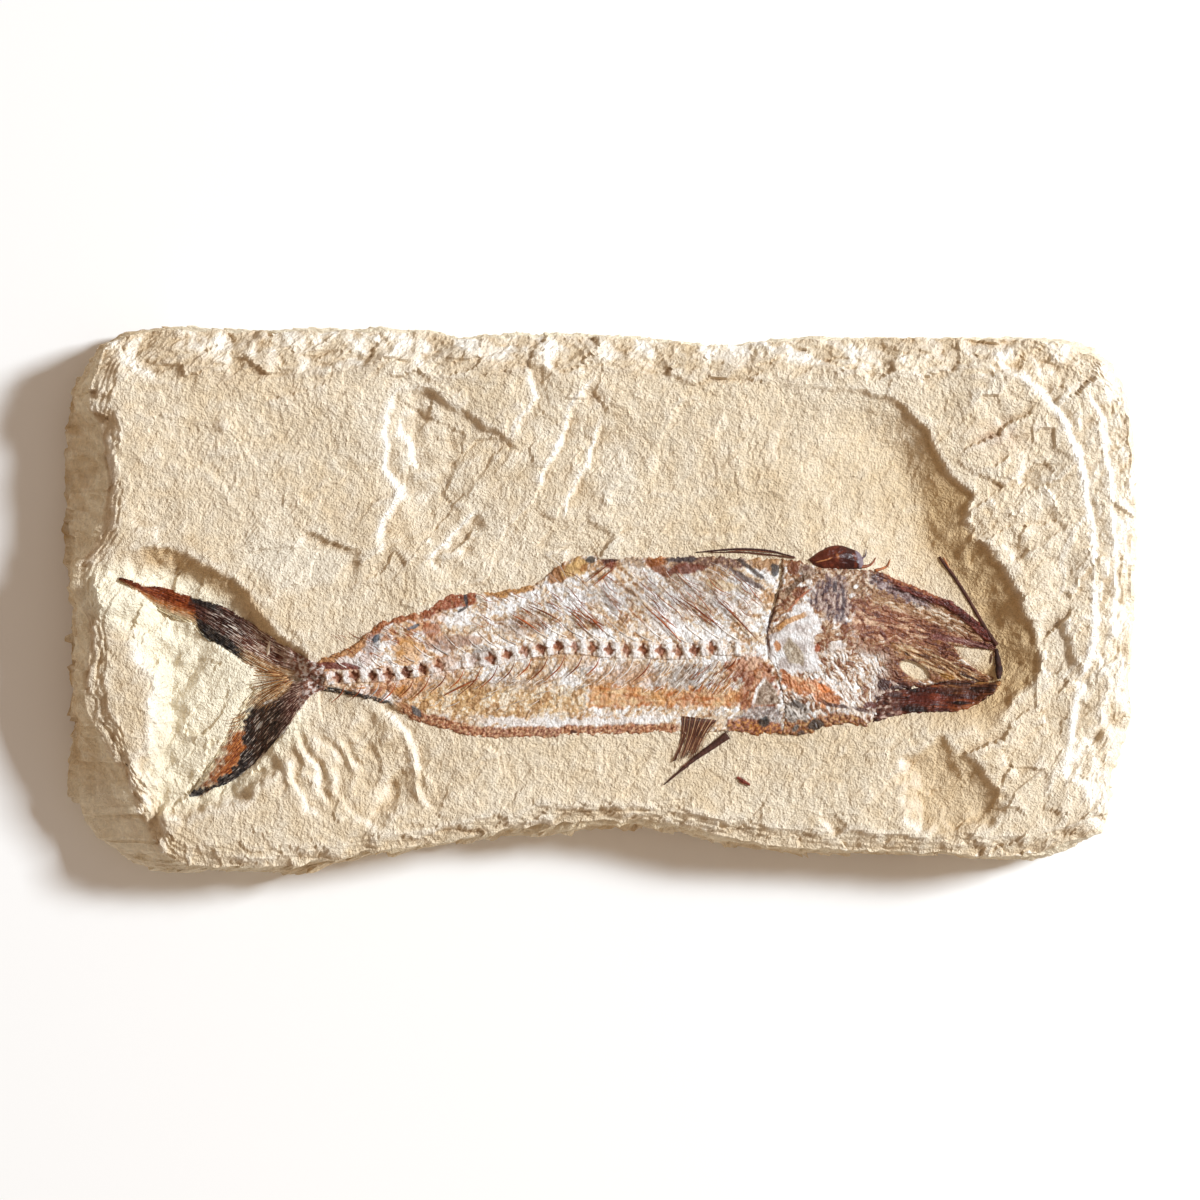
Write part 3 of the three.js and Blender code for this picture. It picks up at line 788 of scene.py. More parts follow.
def slab_colours(top, settings):
    """The stone's tones: tan bed, cream where crests are bruised, painted highlight in the bruise
    colour on the east-facing breaks that face the key light, painted shade in warmer brown on
    the slopes turned from it, in the recesses, on the hollows' banks and over their floors,
    and a few iron stains."""
    x, y, z = top[..., 0], top[..., 1], top[..., 2]
    c = plain(x.shape, settings.bed_colour)
    patches = fractal(x, y, 30.0, 71, 3)
    c = layers(
        c,
        (0.6 * smooth(patches), "#f2e5cf"),
        (0.5 * smooth(-patches), "#dfc6a0"),
    )
    fine = fractal(x, y, 5.0, 73, 3)
    c = layers(
        c,
        (0.4 * smooth(fine), "#f4e9d6"),
        (0.35 * smooth(-fine), "#d8bc93"),
    )
    blurred = z.copy()
    for step in range(6):
        blurred[1:-1] = (blurred[:-2] + blurred[2:] + 2 * blurred[1:-1]) / 4
        blurred[:, 1:-1] = (blurred[:, :-2] + blurred[:, 2:] + 2 * blurred[:, 1:-1]) / 4
        if step == 0:
            soft = blurred.copy()
    crest = soft - blurred
    # How steeply the face falls towards the key light, which comes from the right and a little
    # above.
    along = np.gradient(soft, axis=0) / np.gradient(x, axis=0)
    across = np.gradient(soft, axis=1) / np.gradient(y, axis=1)
    facing = -0.9 * along - 0.45 * across
    # Painted shade on the slopes turned from the key light, painted shadow in the crevices under
    # the ledges, and painted shade in the recesses.
    c = layers(
        c,
        (smooth((-facing - 0.2) / 0.6) * 0.45, "#c7a57a"),
        (smooth((-facing - 0.9) / 0.8) * 0.35, "#8f6c48"),
        (smooth(-crest / 0.4) * 0.35, "#b8966a"),
    )
    tail = depth_inside(x, y, HOLLOWS[0][0])
    # Painted highlight, in the bruise colour, on the slopes that face the key light, weaker in the
    # tail hollow and at the far right; the pale crests are bruising.
    bright = 0.75 - 0.4 * smooth(tail / 4) - 0.25 * smooth((x - 138) / 6)
    c = layers(
        c,
        (smooth((facing - 0.25) / 0.4) * bright, settings.bruise_and_highlight_colour),
        (smooth(crest / 0.3) * 0.35, "#f9f2e6"),
    )
    line, zone = stone_crests(x, y)
    c = paint(c, 0.4 * line + 0.1 * zone, "#fbf5ea")
    # Cream lines along the flake edges that face the key light: part bruising, part painted
    # highlight.
    for edge in BRUISED_LIT_EDGES:
        c = paint(c, 0.75 * stripe(x, y, edge, 0.8, 0.7), settings.bruise_and_highlight_colour)
    band = smooth((y - 60) / 6)
    c = paint(c, 0.45 * band * smooth(0.5 + fractal(x, y, 8.0, 74, 3)), "#c9ad87")
    pale = smooth(depth_inside(x, y, [(-101, 21), (-67, 14), (-74, 4), (-88, 0), (-101, 9)]) / 3)
    c = paint(c, 0.55 * pale, "#eee4d2")
    light = smooth(depth_inside(x, y, [(-1, 46), (11, 47), (12, 26), (-2, 24)]) / 4)
    c = paint(c, 0.4 * light, "#f0e7d7")
    creamy = smooth(tail / 6) * (1 - smooth((y - 6) / 8))
    c = paint(c, 0.8 * creamy, "#f6ecd3")
    # Painted shade, in brown, on the tail hollow's upper bank, which is turned from the key light.
    bank = smooth(tail / 1.5) * smooth((9 - tail) / 5) * smooth((y + 20 + 0.25 * (x + 90)) / 10)
    c = paint(c, 0.7 * bank * smooth((x + 134) / 8), "#cba878")
    lip = depth_inside(x, y, HOLLOWS[1][0])
    # Painted shade, in brown, on the bank of the hollow ahead of the head.
    bank = smooth(lip / 2) * smooth((17 - lip) / 6) * smooth((x - 86) / 10) * smooth((y + 42) / 14)
    c = paint(c, 0.75 * bank, "#cfac79")
    # Painted shade over the floor of the hollow ahead of the head, along the stone below the fish,
    # and in the hollow under the jaw.
    floor = smooth(lip / 8) * smooth((x - 20) / 30)
    c = layers(
        c,
        (0.22 * floor + 0.1 * smooth((-30 - y) / 10), "#cbae83"),
        (0.5 * smooth(depth_inside(x, y, HOLLOWS[2][0]) / 3), "#d3b384"),
    )
    for sx, sy, wide, high, share in (
        (112, 46, 7, 4, 0.35), (-144, 46.5, 2.5, 0.8, 0.8), (-141, 24, 1.2, 0.8, 0.7),
        (-147, 16, 4, 5, 0.2), (-105, 62, 5, 2, 0.12), (-72, 24, 4, 2, 0.12),
    ):
        stain = np.exp(-((x - sx) / wide)**2 - ((y - sy) / high)**2)
        c = paint(c, share * stain * (0.7 + 0.6 * noise(x, y, 2.0, 72)), "#9a5c3a")
    return c


def build_slab(settings):
    """The limestone block: upper face, walls and underside as one closed mesh."""
    top = slab_top()
    rim = border(top)
    rings = wall_rings(rim)
    below = underside()
    top_count = top.shape[0] * top.shape[1]
    index = np.arange(top_count).reshape(top.shape[:2])
    upper = border(index)
    faces = [grid_faces(*top.shape[:2])]
    start = top_count
    for ring in rings:
        lower = start + np.arange(len(ring))
        following = (np.roll(lower, -1), np.roll(upper, -1))
        faces.append(np.stack((lower, following[0], following[1], upper), -1))
        upper = lower
        start += len(ring)
    below_index = start + np.arange(below.shape[0] * below.shape[1]).reshape(below.shape[:2])
    faces.append(grid_faces(*below.shape[:2], start)[:, ::-1])
    inner = border(below_index)
    outer = upper.reshape(-1, COARSE)
    closing = np.roll(upper, -COARSE).reshape(-1, COARSE)[:, :1]
    faces.append(np.column_stack([inner, np.roll(inner, -1), closing, outer[:, ::-1]]))
    points = np.concatenate([top.reshape(-1, 3), *rings, below.reshape(-1, 3)])
    colours = np.concatenate([
        slab_colours(top, settings).reshape(-1, 3),
        wall_colours(np.concatenate(rings)),
        wall_colours(below.reshape(-1, 3)),
    ])
    make_object(
        "limestone_slab", points, faces, limestone_material(settings), ["slab"],
        colours, rounded=False,
    )


def wall_colours(points):
    """The broken walls: the same stone, a little darker and browner than the worked face, in
    faint beds, with painted shade on the walls turned from the key light and painted highlight
    on those that face it."""
    x, y, z = points.T
    c = plain(x.shape, "#ecdcc0")
    # Painted shade on the walls turned from the key light: the lower left and the bottom.
    shaded = smooth((-x - 0.6 * y - 60) / 40)
    c = paint(c, 0.6 * np.maximum(shaded, smooth((-50 - y) / 8)), "#e3c99f")
    beds = fractal(x * 0.3 + y * 0.3, z * 3, 9.0, 81, 3)
    c = layers(
        c,
        (0.5 * smooth(beds), "#efdfc2"),
        (0.5 * smooth(-beds), "#cdab7a"),
    )
    # Darker low on the left wall, as painted shade, and paler along its top.
    left = smooth((-122 - x) / 6)
    c = layers(
        c,
        (0.6 * left * smooth((14 - z) / 4) * smooth((y + 45) / 10), "#9c7748"),
        (0.45 * left * smooth((z - 17) / 3), "#f8e8c8"),
    )
    wander = 3.0 * fractal(x + y, z, 8.0, 84, 3)
    tone, gap, _ = shards((y - x) * 0.5 + wander, z * 1.2 + 0.3 * (x - y) + wander, 8.0, 83)
    c = layers(
        c,
        (0.3 * smooth(tone + 0.3), "#f5e8cd"),
        (0.25 * smooth(0.3 - tone), "#c09c6c"),
        (0.4 * smooth((0.1 - gap) / 0.1), "#fbf2df"),
    )
    grain = fractal(x + y, z * 1.6, 3.5, 85, 3)
    c = layers(
        c,
        (0.35 * smooth(grain * 1.6), "#f6ead2"),
        (0.4 * smooth(-grain * 1.6), "#b8925f"),
        (0.4 * smooth((z - 15) / 6), "#f3e4c6"),
    )
    # Painted highlight on the walls that face the key light: the right, the top, and a facet at the
    # lower left.
    lit = np.maximum(smooth((x - 110) / 20), smooth((y - 55) / 10) * smooth((x + 125) / 10))
    lit = np.maximum(lit, 0.9 * smooth((-48 - y) / 8) * smooth((-85 - x) / 15))
    c = paint(c, 0.65 * lit, "#f4e8cf")
    stain = smooth(fractal(x + y, z * 2, 14.0, 82, 3) * 2 - 0.7)
    return paint(c, 0.14 * stain, "#9c6a3c")


# ---------------------------------------------------------------- the fish's outlines, in mm

GILL_LINE = [
    (51.5, -37.6), (52, -30), (50, -21), (47.5, -16), (47, -9), (48.5, -3), (50.5, 4), (51, 11.8),
]
TRUNK = {
    "top": [
        (-80, -16.8), (-70, -13), (-62, -6), (-55, -4), (-49, -1.7), (-43, 1.7), (-37, 2),
        (-27, 3), (-19, 4.4), (-15, 7), (-12.6, 9.6), (-8, 12), (0, 13), (9, 12.8), (18, 12.6),
        (26, 12.8), (35, 12.5), (51, 11.8),
    ],
    "bottom": [
        (-80, -25.2), (-75, -26), (-70, -27), (-60, -29.5), (-53, -34), (-45, -36.5),
        (-35, -39), (-28, -39.2), (-10, -38.8), (10, -38), (20, -38), (36, -37.5),
        (45, -38.5), (51.5, -37.6),
    ],
    "left": [(-80, -25.2), (-80.3, -21), (-80, -16.8)],
    "right": GILL_LINE,
}
SKULL = {
    "top": [
        (51, 11.8), (58.6, 10.8), (62, 9.4), (74, 8.8), (80, 8), (84.8, 5.4), (90, 3.7),
        (94.8, 1.4), (98.9, 0.3), (102.6, -2.4), (106.6, -5.6), (109.9, -9), (112.2, -12.6),
    ],
    "bottom": [
        (51.5, -37.6), (55, -38.5), (60, -37.5), (63, -36), (70, -35), (75, -36), (77.3, -34),
        (80, -28.5), (84, -25.6), (92.5, -24.6), (100.2, -23.6), (106, -23.8), (111.2, -23),
    ],
    "left": GILL_LINE,
    "right": [(111.2, -23), (111.8, -18), (112.2, -12.6)],
}
LOWER_JAW = {
    "top": [
        (80, -25), (84, -25), (89.2, -24.6), (93.1, -23.8), (100.2, -22), (104.7, -22.2),
        (109.2, -23.1), (113, -22.6),
    ],
    "bottom": [
        (76.5, -34.7), (79.2, -34), (83.7, -32.7), (89.2, -32), (100.2, -31.7), (103.7, -31),
        (107.2, -29), (111.1, -26.5), (112.3, -25),
    ],
    "left": [(76.5, -34.7), (77.5, -29), (80, -25)],
    "right": [(112.3, -25), (113.2, -23.6), (113, -22.6)],
}
NAPE_PLATE = {
    "top": [
        (58.6, 11.4), (61, 13.2), (64, 14.9), (67.5, 15.4), (70.6, 14.5), (73, 13.4), (74.1, 11.5),
    ],
    "bottom": [(58.6, 11.4), (60, 9.8), (63, 8.8), (68, 8.6), (73.8, 8.7)],
    "left": [(58.6, 11.4), (58.55, 11.4), (58.6, 11.4)],
    "right": [(73.8, 8.7), (74.3, 10), (74.1, 11.5)],
}
UPPER_LOBE = {
    "top": [
        (-135.2, 6.4), (-129, 4.9), (-121.5, 3.1), (-116, 1.4), (-109.6, -0.2), (-103.1, -3.3),
        (-97.6, -7), (-92, -10.8), (-86.5, -14), (-82.5, -16.6), (-77, -18.4),
    ],
    "bottom": [
        (-135.4, 5.4), (-130.3, 1.4), (-126.6, -1.8), (-121.8, -4.8), (-115.6, -7.2),
        (-112.4, -10.4), (-108.8, -13.2), (-104.2, -16.3), (-99.6, -19.4), (-95, -21.4),
        (-90, -22.9), (-77, -22.4),
    ],
    "left": [(-135.4, 5.4), (-135.4, 5.9), (-135.2, 6.4)],
    "right": [(-77, -22.4), (-76.8, -20), (-77, -18.4)],
}
LOWER_LOBE = {
    "top": [
        (-117, -55.4), (-114, -51.5), (-111.5, -47), (-109, -42.5), (-106.5, -38), (-104, -33),
        (-100.8, -28.5), (-97, -25), (-90, -22.2), (-77, -20.9),
    ],
    "bottom": [
        (-116.8, -56.1), (-112.4, -55.3), (-107.7, -53.1), (-103.1, -50.8), (-97.6, -47.5),
        (-93, -42.9), (-88.3, -37.3), (-84.8, -31.8), (-81.4, -27), (-77, -25),
    ],
    "left": [(-116.8, -56.1), (-116.9, -55.75), (-117, -55.4)],
    "right": [(-77, -25), (-76.8, -23.2), (-77, -20.9)],
}
BACKBONE = [
    (-81, -22.3), (-70, -21.5), (-56, -20.6), (-43.5, -18), (-29.3, -16.2), (-19.8, -14.2),
    (-8.7, -13), (2.5, -14), (12.8, -14.1), (22.7, -14.6), (31.8, -13.4), (43.5, -14),
]
VERTEBRAE = 26
FILM_SUNK = 1.1  # how far a film's edge goes below the stone, in mm
MOUTH_GAP = [
    (99.6, -12.8), (105, -13.5), (111, -14.2), (111.2, -21.6), (108, -20.8), (105, -18.8),
    (102, -16.4),
]


def outline_of(ring):
    """A ring's four sides as one closed outline."""
    return ring["bottom"] + ring["right"][1:-1] + ring["top"][::-1] + ring["left"][::-1][1:-1]


def fossil_cover(x, y):
    """Where the fossil lies on the stone, 0 to 1, so that the stone's grain stays under it."""
    cover = np.zeros(np.shape(x))
    for ring, margin in ((TRUNK, 1.3), (SKULL, 1.3), (LOWER_JAW, 1.0)):
        cover = np.maximum(cover, smooth((depth_inside(x, y, outline_of(ring)) - margin) / 0.9))
    for ring in (UPPER_LOBE, LOWER_LOBE):
        cover = np.maximum(cover, smooth((depth_inside(x, y, outline_of(ring)) - 0.5) / 0.8))
    return cover * (1 - smooth(depth_inside(x, y, MOUTH_GAP) / 1.0))


# ---------------------------------------------------------------- laying on colour


def spot(x, y, cx, cy, long, wide, degrees, ragged=0.3, seed=5):
    """A patch of colour, 0 to 1: an ellipse with a ragged edge."""
    u, v = turned(x - cx, y - cy, degrees, 1.0)
    reach = np.hypot(u / long, v / wide) + ragged * fractal(x, y, 2.2, seed + 200, 3)
    return smooth((1.1 - reach) / 0.25)


def spots(colours, x, y, places, share=0.92):
    """Lays on a list of ragged ellipses: place, half length, half width, slant, colour."""
    for cx, cy, long, wide, slant, tone in places:
        near = (np.abs(x - cx) < 2 * long + 2 * wide) & (np.abs(y - cy) < 2 * long + 2 * wide)
        cover = spot(x[near], y[near], cx, cy, long, wide, slant, 0.3, int(cx * 5 + 700))
        colours[near] = paint(colours[near], cover * share, tone)
    return colours


def patch(x, y, outline, soft, ragged, seed=5):
    """A patch of colour inside an outline, with a ragged edge."""
    edge = depth_inside(x, y, outline) + ragged * fractal(x, y, 1.8, seed + 300, 3)
    return smooth(edge / soft + 0.5)


def stripe(x, y, line, wide, ragged, seed=5):
    """A streak of colour along a line, tapering at both ends."""
    distance, _, share = along_line(x, y, line)
    taper = smooth(share / 0.2 + 0.25) * smooth((1 - share) / 0.2 + 0.25)
    reach = distance / (wide * 0.5) + ragged * fractal(x, y, 1.6, seed + 400, 2)
    return smooth((1.15 - reach) / 0.35) * taper


def grained(colours, share, grain, base, light, dark, cover=0.9):
    """A region laid on in a base tone, light where a grain is high and dark where it is low."""
    colours = paint(colours, share * cover, base)
    colours = paint(colours, share * smooth(grain * 2.4 - 0.25) * 0.85, light)
    return paint(colours, share * smooth(-grain * 2.4 - 0.25) * 0.85, dark)


def fibres(x, y, degrees, cell, seed, stretch=7.0):
    """Fine parallel fibres along a direction, about -1 to 1, waving a little."""
    bend = 0.8 * fractal(x, y, 12.0, seed + 7, 2)
    return fractal(*turned(x + bend, y + bend, degrees, stretch), cell, seed, 2, 0.6)


def film(x, y, outline, thick, lip=1.3):
    """How far a bone or skin stands over the bed, in mm: its thickness, falling below the stone
    along a ragged edge, except along the lower gill line, where the trunk meets the skull."""
    edge = depth_inside(x, y, outline) + 0.55 * fractal(x, y, 1.7, 91, 3)
    gill, _, _ = along_line(x, y, GILL_LINE)
    edge = edge + 1.8 * smooth((1.8 - gill) / 1.0) * smooth((-4 - y) / 6)
    return mix(-FILM_SUNK, thick, smooth(edge / lip + 0.3))


# ---------------------------------------------------------------- making the bones


def sheet_piece(name, ring, columns, rows, height, colours, material, nodes, sink=1.4):
    """A bone or skin made as a lying sheet: a patch inside its outline, raised by a height
    function and painted by a colour function of the place."""
    flat = coons_patch(ring, columns, rows)
    x, y = flat[..., 0], flat[..., 1]
    top = np.stack((x, y, height(x, y)), -1)
    points, faces, source = lying_sheet(top, sink)
    tones = colours(x, y).reshape(-1, 3)[source]
    make_object(name, points, faces, material, nodes, tones)


def film_level(x, y):
    """A smooth level just over the body film, running out on to the bed around it."""
    distance, _, _ = along_line(x, y, BACKBONE)
    inside = smooth((depth_inside(x, y, outline_of(TRUNK)) + 0.8) / 2.0)
    return bed_height(x, y) + inside * (0.5 + 0.7 * np.exp(-(distance / 11)**2))


def strand_piece(name, lines, tones, material, nodes, steps=14, sides=6, seed=3,
                 over=bed_height):
    """Slender bones made as one mesh of tapered strands. Each line is its points in mm, its
    widths from one end to the other, and how far it stands over the surface beneath."""
    paths = np.stack([smooth_curve(points, steps) for points, _, _ in lines])
    even = np.linspace(0, 1, steps)
    widths = np.stack([
        np.interp(even, np.linspace(0, 1, len(wide)), wide) for _, wide, _ in lines
    ])
    lift = np.array([stand for _, _, stand in lines])[:, None]
    x, y = paths[..., 0], paths[..., 1]
    widths = widths * (1 + 0.18 * fractal(x, y, 2.0, seed, 2))
    z = over(x, y) + lift
    points, faces = strands(np.stack((x, y, z), -1), widths, widths * 0.8, sides)
    px, py = points[:, 0], points[:, 1]
    shade = fractal(px, py, 1.6, seed + 1, 3)
    which = np.repeat(np.arange(len(lines)), steps * sides) % len(tones)
    base = np.stack([linear(tone) for tone in tones])[which]
    colours = base * (1 + 0.45 * shade)[:, None]
    make_object(name, points, faces, material, nodes, np.clip(colours, 0.005, 1))


# ---------------------------------------------------------------- the trunk


def trunk_flakes(x, y):
    """The film's flakes, large and small, drawn out along the ribs above the backbone and along
    the spines below it: each as a random number, the distance from its edge, and its tilt."""
    distance, side, _ = along_line(x, y, BACKBONE)
    above = side * distance + 1.5 * fractal(x, y, 6.0, 100) > 0
    wx = x + 0.9 * fractal(x, y, 3.0, 105, 2)
    wy = y + 0.9 * fractal(x, y, 3.0, 106, 2)
    sizes = []
    for cell, stretch, seed in ((2.5, 1.6, 101), (1.0, 2.6, 102)):
        ribs = shards(*turned(wx, wy, 142, stretch), cell, seed)
        spines = shards(*turned(wx, wy, 40, stretch), cell, seed + 2)
        sizes.append([np.where(above, high, low) for high, low in zip(ribs, spines)])
    return sizes


def trunk_height(x, y):
    """Upper side of the trunk: the bed, the film, a low swell along the backbone, the tilts of
    its flakes, large and small, with their edges a little sunk, and its raised creases."""
    distance, _, _ = along_line(x, y, BACKBONE)
    (_, gap, tilt), (_, small_gap, small_tilt) = trunk_flakes(x, y)
    crumple = 0.32 * tilt + 0.2 * small_tilt + 0.1 * smooth(gap / 0.3)
    crumple = crumple + 0.14 * smooth(small_gap / 0.3)
    swell = 0.7 * np.exp(-(distance / 11)**2)
    grain = fractal(x, y, 1.2, 104, 2) * 0.14 + 0.16 * film_creases(x, y)
    return bed_height(x, y) + film(x, y, outline_of(TRUNK), 0.2) + swell + crumple + grain


def film_creases(x, y):
    """The film's fine raised creases, 0 to 1: a wandering net about two millimetres wide."""
    bend = 1.2 * fractal(x, y, 4.0, 107, 2)
    net = ridges(*turned(x + bend, y + bend, 24, 1.5), 2.4, 108, 2)
    return smooth((net - 0.7) / 0.16)


def trunk_colours(x, y):
    """The trunk's colours, laid on in turn: silver and white flakes with tan and brown between
    them, the amber belly, the rusty margins, and the dark mineral spots."""
    distance, side, _ = along_line(x, y, BACKBONE)
    (tone, _, _), (small, small_gap, _) = trunk_flakes(x, y)
    cloud = fractal(x, y, 9.0, 111, 3)
    fleck = fractal(x, y, 1.1, 112, 3, 0.7)
    white = 0.7 * tone + 0.8 * small + 0.5 * fleck + 0.9 * cloud
    white = white + 0.25 * smooth((side * distance + 2) / 4)
    c = plain(x.shape, "#dcc5a8")
    c = layers(
        c,
        (smooth(white + 0.35) * 0.8, "#e3dcd4"),
        (smooth(white * 1.4 - 0.25) * 0.9, "#fbf9f7"),
        (smooth(-white * 1.3 - 0.1) * 0.7, "#c49a6e"),
        (smooth(-white * 1.3 - 0.7) * 0.65, "#94653e"),
    )
    golden = smooth(fractal(x, y, 10.0, 113, 3) * 1.6 + 0.1)
    c = grained(c, golden * 0.6, 0.6 * small + 0.5 * fleck, "#d9b07e", "#f4eadb", "#a5703f", 0.6)
    c = layers(
        c,
        (smooth((0.12 - small_gap) / 0.12) * 0.35 * smooth(fleck + 0.5), "#9a7458"),
        (film_creases(x, y) * smooth(0.8 + 1.5 * cloud) * 0.75, "#fcfaf8"),
        (smooth(fleck * 2 - 0.5) * 0.4, "#fbf9f8"),
        (smooth(-fleck * 2 - 0.6) * 0.5, "#875c40"),
    )
    dull = spot(x, y, 27, 3, 16, 6, -8) + spot(x, y, 4, 1, 9, 3.5, 0, seed=6)
    c = paint(c, dull * 0.3, "#9b9089")

    left = smooth((-36 - x) / 14)
    c = grained(c, left * smooth(fractal(x, y, 6.0, 115, 3) * 2 + 0.5), 0.5 * tone + 0.4 * small,
                "#c98f5c", "#efe5de", "#8c4a35", 0.8)
    c = spots(c, x, y, (
        (-42, -12, 5.5, 2.2, 5, "#9c7765"), (-36, -11.5, 3, 1.6, 5, "#b38a71"),
        (-54, -14.5, 4.5, 4, 5, "#d6a05c"), (-47.5, -8.5, 3, 1.8, 5, "#b06a43"),
        (-33, -15.8, 3.6, 2.6, 5, "#897b72"), (-52, -25, 6, 3.4, 5, "#c78845"),
        (-69, -17, 6, 2, 5, "#e3dad6"), (34, 4, 5, 1.6, -10, "#cfb184"),
        (-64, -12, 3.6, 2.4, 60, "#bcb7b6"),
    ), 0.7)
    c = spots(c, x, y, (
        (-22, -7, 7, 3, 5, "#a98b78"), (-40, -26, 12, 4.5, -10, "#cfa678"),
        (-25, -25, 9, 3, 0, "#a18b7d"), (-13, -28, 10, 2.5, 0, "#ab9687"),
        (-6, -17, 7, 2.2, 0, "#cda172"), (8, -20, 7, 3, 0, "#c3a289"),
        (24, -22, 5, 4, 60, "#98908b"),
    ), 0.45)

    belly = [(-60, -30), (-40, -23.5), (-4, -25), (-4, -31.5), (-30, -33), (-50, -33)]
    c = grained(c, patch(x, y, belly, 3, 1.6), 0.5 * tone + 0.6 * fleck, "#d3ab72", "#ecdfc9",
                "#a67a50", 0.7)
    glow = [(-2, -31), (-2, -20), (16, -19), (18, -24), (8, -24)]
    c = paint(c, patch(x, y, glow, 2, 1.2, 7) * 0.45, "#cc986a")
    band = [(-3.2, -30.4), (-2.8, -24), (8, -24.2), (20, -25), (36, -24), (41, -27), (36, -30.5),
            (16, -29.8)]
    band = patch(x, y, band, 1.2, 1.2)
    c = grained(c, band, 0.4 * tone + 0.6 * fibres(x, y, 4, 1.1, 119, 4), "#cb8f50", "#e6c69a",
                "#ad602c", 0.8)
    c = paint(c, band * smooth(fractal(x, y, 3, 118, 3) * 2 - 0.1) * 0.5, "#b5662f")
    strip = stripe(x, y, [(-36, -33.5), (-20, -34.6), (0, -34.2), (22, -33.2)], 2.2, 0.8)
    c = paint(c, strip * 0.75, "#ede7e3")
    cheek = [(36, -17), (44, -15.5), (49, -19), (50, -26), (51, -33), (42, -33.5), (38, -28),
             (40, -23), (35, -20)]
    c = grained(c, patch(x, y, cheek, 1.6, 1.6, 8), 0.5 * small + 0.5 * fibres(x, y, 60, 1.0, 120),
                "#ad6a3e", "#ddb595", "#7a3c22", 0.8)
    grey = [(38, -32.8), (43, -30), (51, -30), (51, -35), (44, -35)]
    c = grained(c, patch(x, y, grey, 1, 0.8, 9), fleck, "#a0958f", "#d9d3cf", "#6d625e", 0.75)
    chip = [(43.3, -29.6), (44.4, -25), (46.6, -22), (49.6, -25.5), (51, -29.2)]
    c = grained(c, patch(x, y, chip, 0.5, 0.15), fleck, "#9a836f", "#cbb8a6", "#7d6452", 1.0)
    c = layers(
        c,
        (stripe(x, y, [(43, -29.6), (44.2, -25), (46.6, -21.8)], 0.8, 0.1), "#f5efe9"),
        (stripe(x, y, GILL_LINE[3:7], 0.9, 0.5) * 0.85, "#5a3a30"),
    )
    return trunk_margins(c, x, y, distance * side)


def trunk_margins(c, x, y, height):
    """The rusty and black margins of the trunk, laid over its other colours."""
    lower, _, _ = along_line(x, y, TRUNK["bottom"])
    upper, _, _ = along_line(x, y, TRUNK["top"])
    grit = fractal(x, y, 0.8, 121, 2, 0.8)
    below = smooth((3.6 + 0.8 * fractal(x, y, 3, 122) - lower) / 0.8)
    reach = smooth((x + 58) / 4) * smooth((23 - x) / 2)
    c = grained(c, below * reach, grit, "#a86842", "#dcb48d", "#6d3822")
    black = smooth((1.7 - lower) / 0.6) * smooth((-56 - x) / 5)
    c = paint(c, black * smooth(grit + 0.9), "#332e2b")
    wide = np.interp(x, (-80, -52, -48, -34, -30, -18, -9, 12, 20, 51), (3, 2.6, 4, 4, 2.4, 2.4,
                                                                         4.6, 3.4, 3.6, 4.0))
    rind = smooth((wide + 1.3 * fractal(x, y, 3.5, 123, 2) - upper) / 0.9) * (height > 0)
    for start, end, tone in (
        (-82, -64, "#bd8550"), (-66, -50, "#a05829"), (-52, -33, "#94471e"),
        (-35, -17, "#b68040"), (-9, -3.5, "#bf9150"), (-1, 6, "#853b1f"), (5, 13, "#aa8f75"),
        (12, 20, "#a96129"), (19, 42, "#75503f"), (41, 52, "#ad8052"),
    ):
        zone = smooth((x - start) / 2.5) * smooth((end - x) / 2.5)
        c = paint(c, rind * zone * 0.95, tone)
    c = layers(
        c,
        (rind * smooth(grit * 2 - 0.5) * 0.6, "#d8b48e"),
        (rind * smooth(-grit * 2 - 0.5) * 0.75, "#572b1b"),
    )
    lumps = [(36, -33.6), (42, -33.2), (51, -35), (52, -38), (44, -39), (36, -38)]
    c = grained(c, patch(x, y, lumps, 0.8, 0.6, 11), grit, "#985127", "#cf9349", "#5d2c18")
    return spots(c, x, y, (
        (-12, 7.4, 3.4, 2.8, 40, "#a06a38"), (-7, 8.6, 3.6, 2.2, 30, "#c9a268"),
        (-2.6, 11.4, 1.2, 1.0, 0, "#4a433d"), (-4.5, 9, 1.4, 1.0, 40, "#a5713f"),
        (4, 11.9, 3.2, 1.0, 25, "#48271d"), (16, 9.2, 4.6, 1.4, -32, "#82471c"),
        (23, 11.5, 4.5, 0.9, 0, "#453837"), (24, 8.8, 5, 1.5, 5, "#743b28"),
        (41, 6, 6, 0.9, -32, "#6a5752"), (42.5, 8.8, 5, 0.7, -38, "#473933"),
        (49.3, 8.3, 1.3, 2.0, 0, "#3d3938"), (-37.8, 0.4, 0.5, 2.6, 8, "#313336"),
        (-38.6, -2.6, 1.6, 0.4, 30, "#48403b"), (-63, -10.8, 1.5, 0.7, 60, "#4a505a"),
        (-52.5, -7.6, 2.2, 0.6, 25, "#676b73"), (46.3, -34.2, 1.7, 1.7, 0, "#322f2c"),
        (-51.5, -31.5, 2.0, 1.0, -50, "#636160"), (-7.6, -37.2, 1.2, 0.7, 0, "#47271d"),
        (-74, -18.6, 6.5, 1.0, -3, "#743930"), (-33.5, 0.6, 1.6, 1.5, -50, "#eaddca"),
    ))


def build_trunk():
    """The body film: to the eye a crumpled silvery skin with a satin gleam."""
    def grooved_height(x, y):
        """The trunk's upper side with a groove for the backbone."""
        distance, _, _ = along_line(x, y, BACKBONE[:-1])
        return trunk_height(x, y) - 1.3 * smooth((1.9 - distance) / 0.5)

    sheet_piece(
        "trunk_film", TRUNK, 440, 176, grooved_height, trunk_colours,
        bone_material("silvery mineral film", 0.5, 0.0, 0.6, 40, 0.3), ["trunk"],
    )


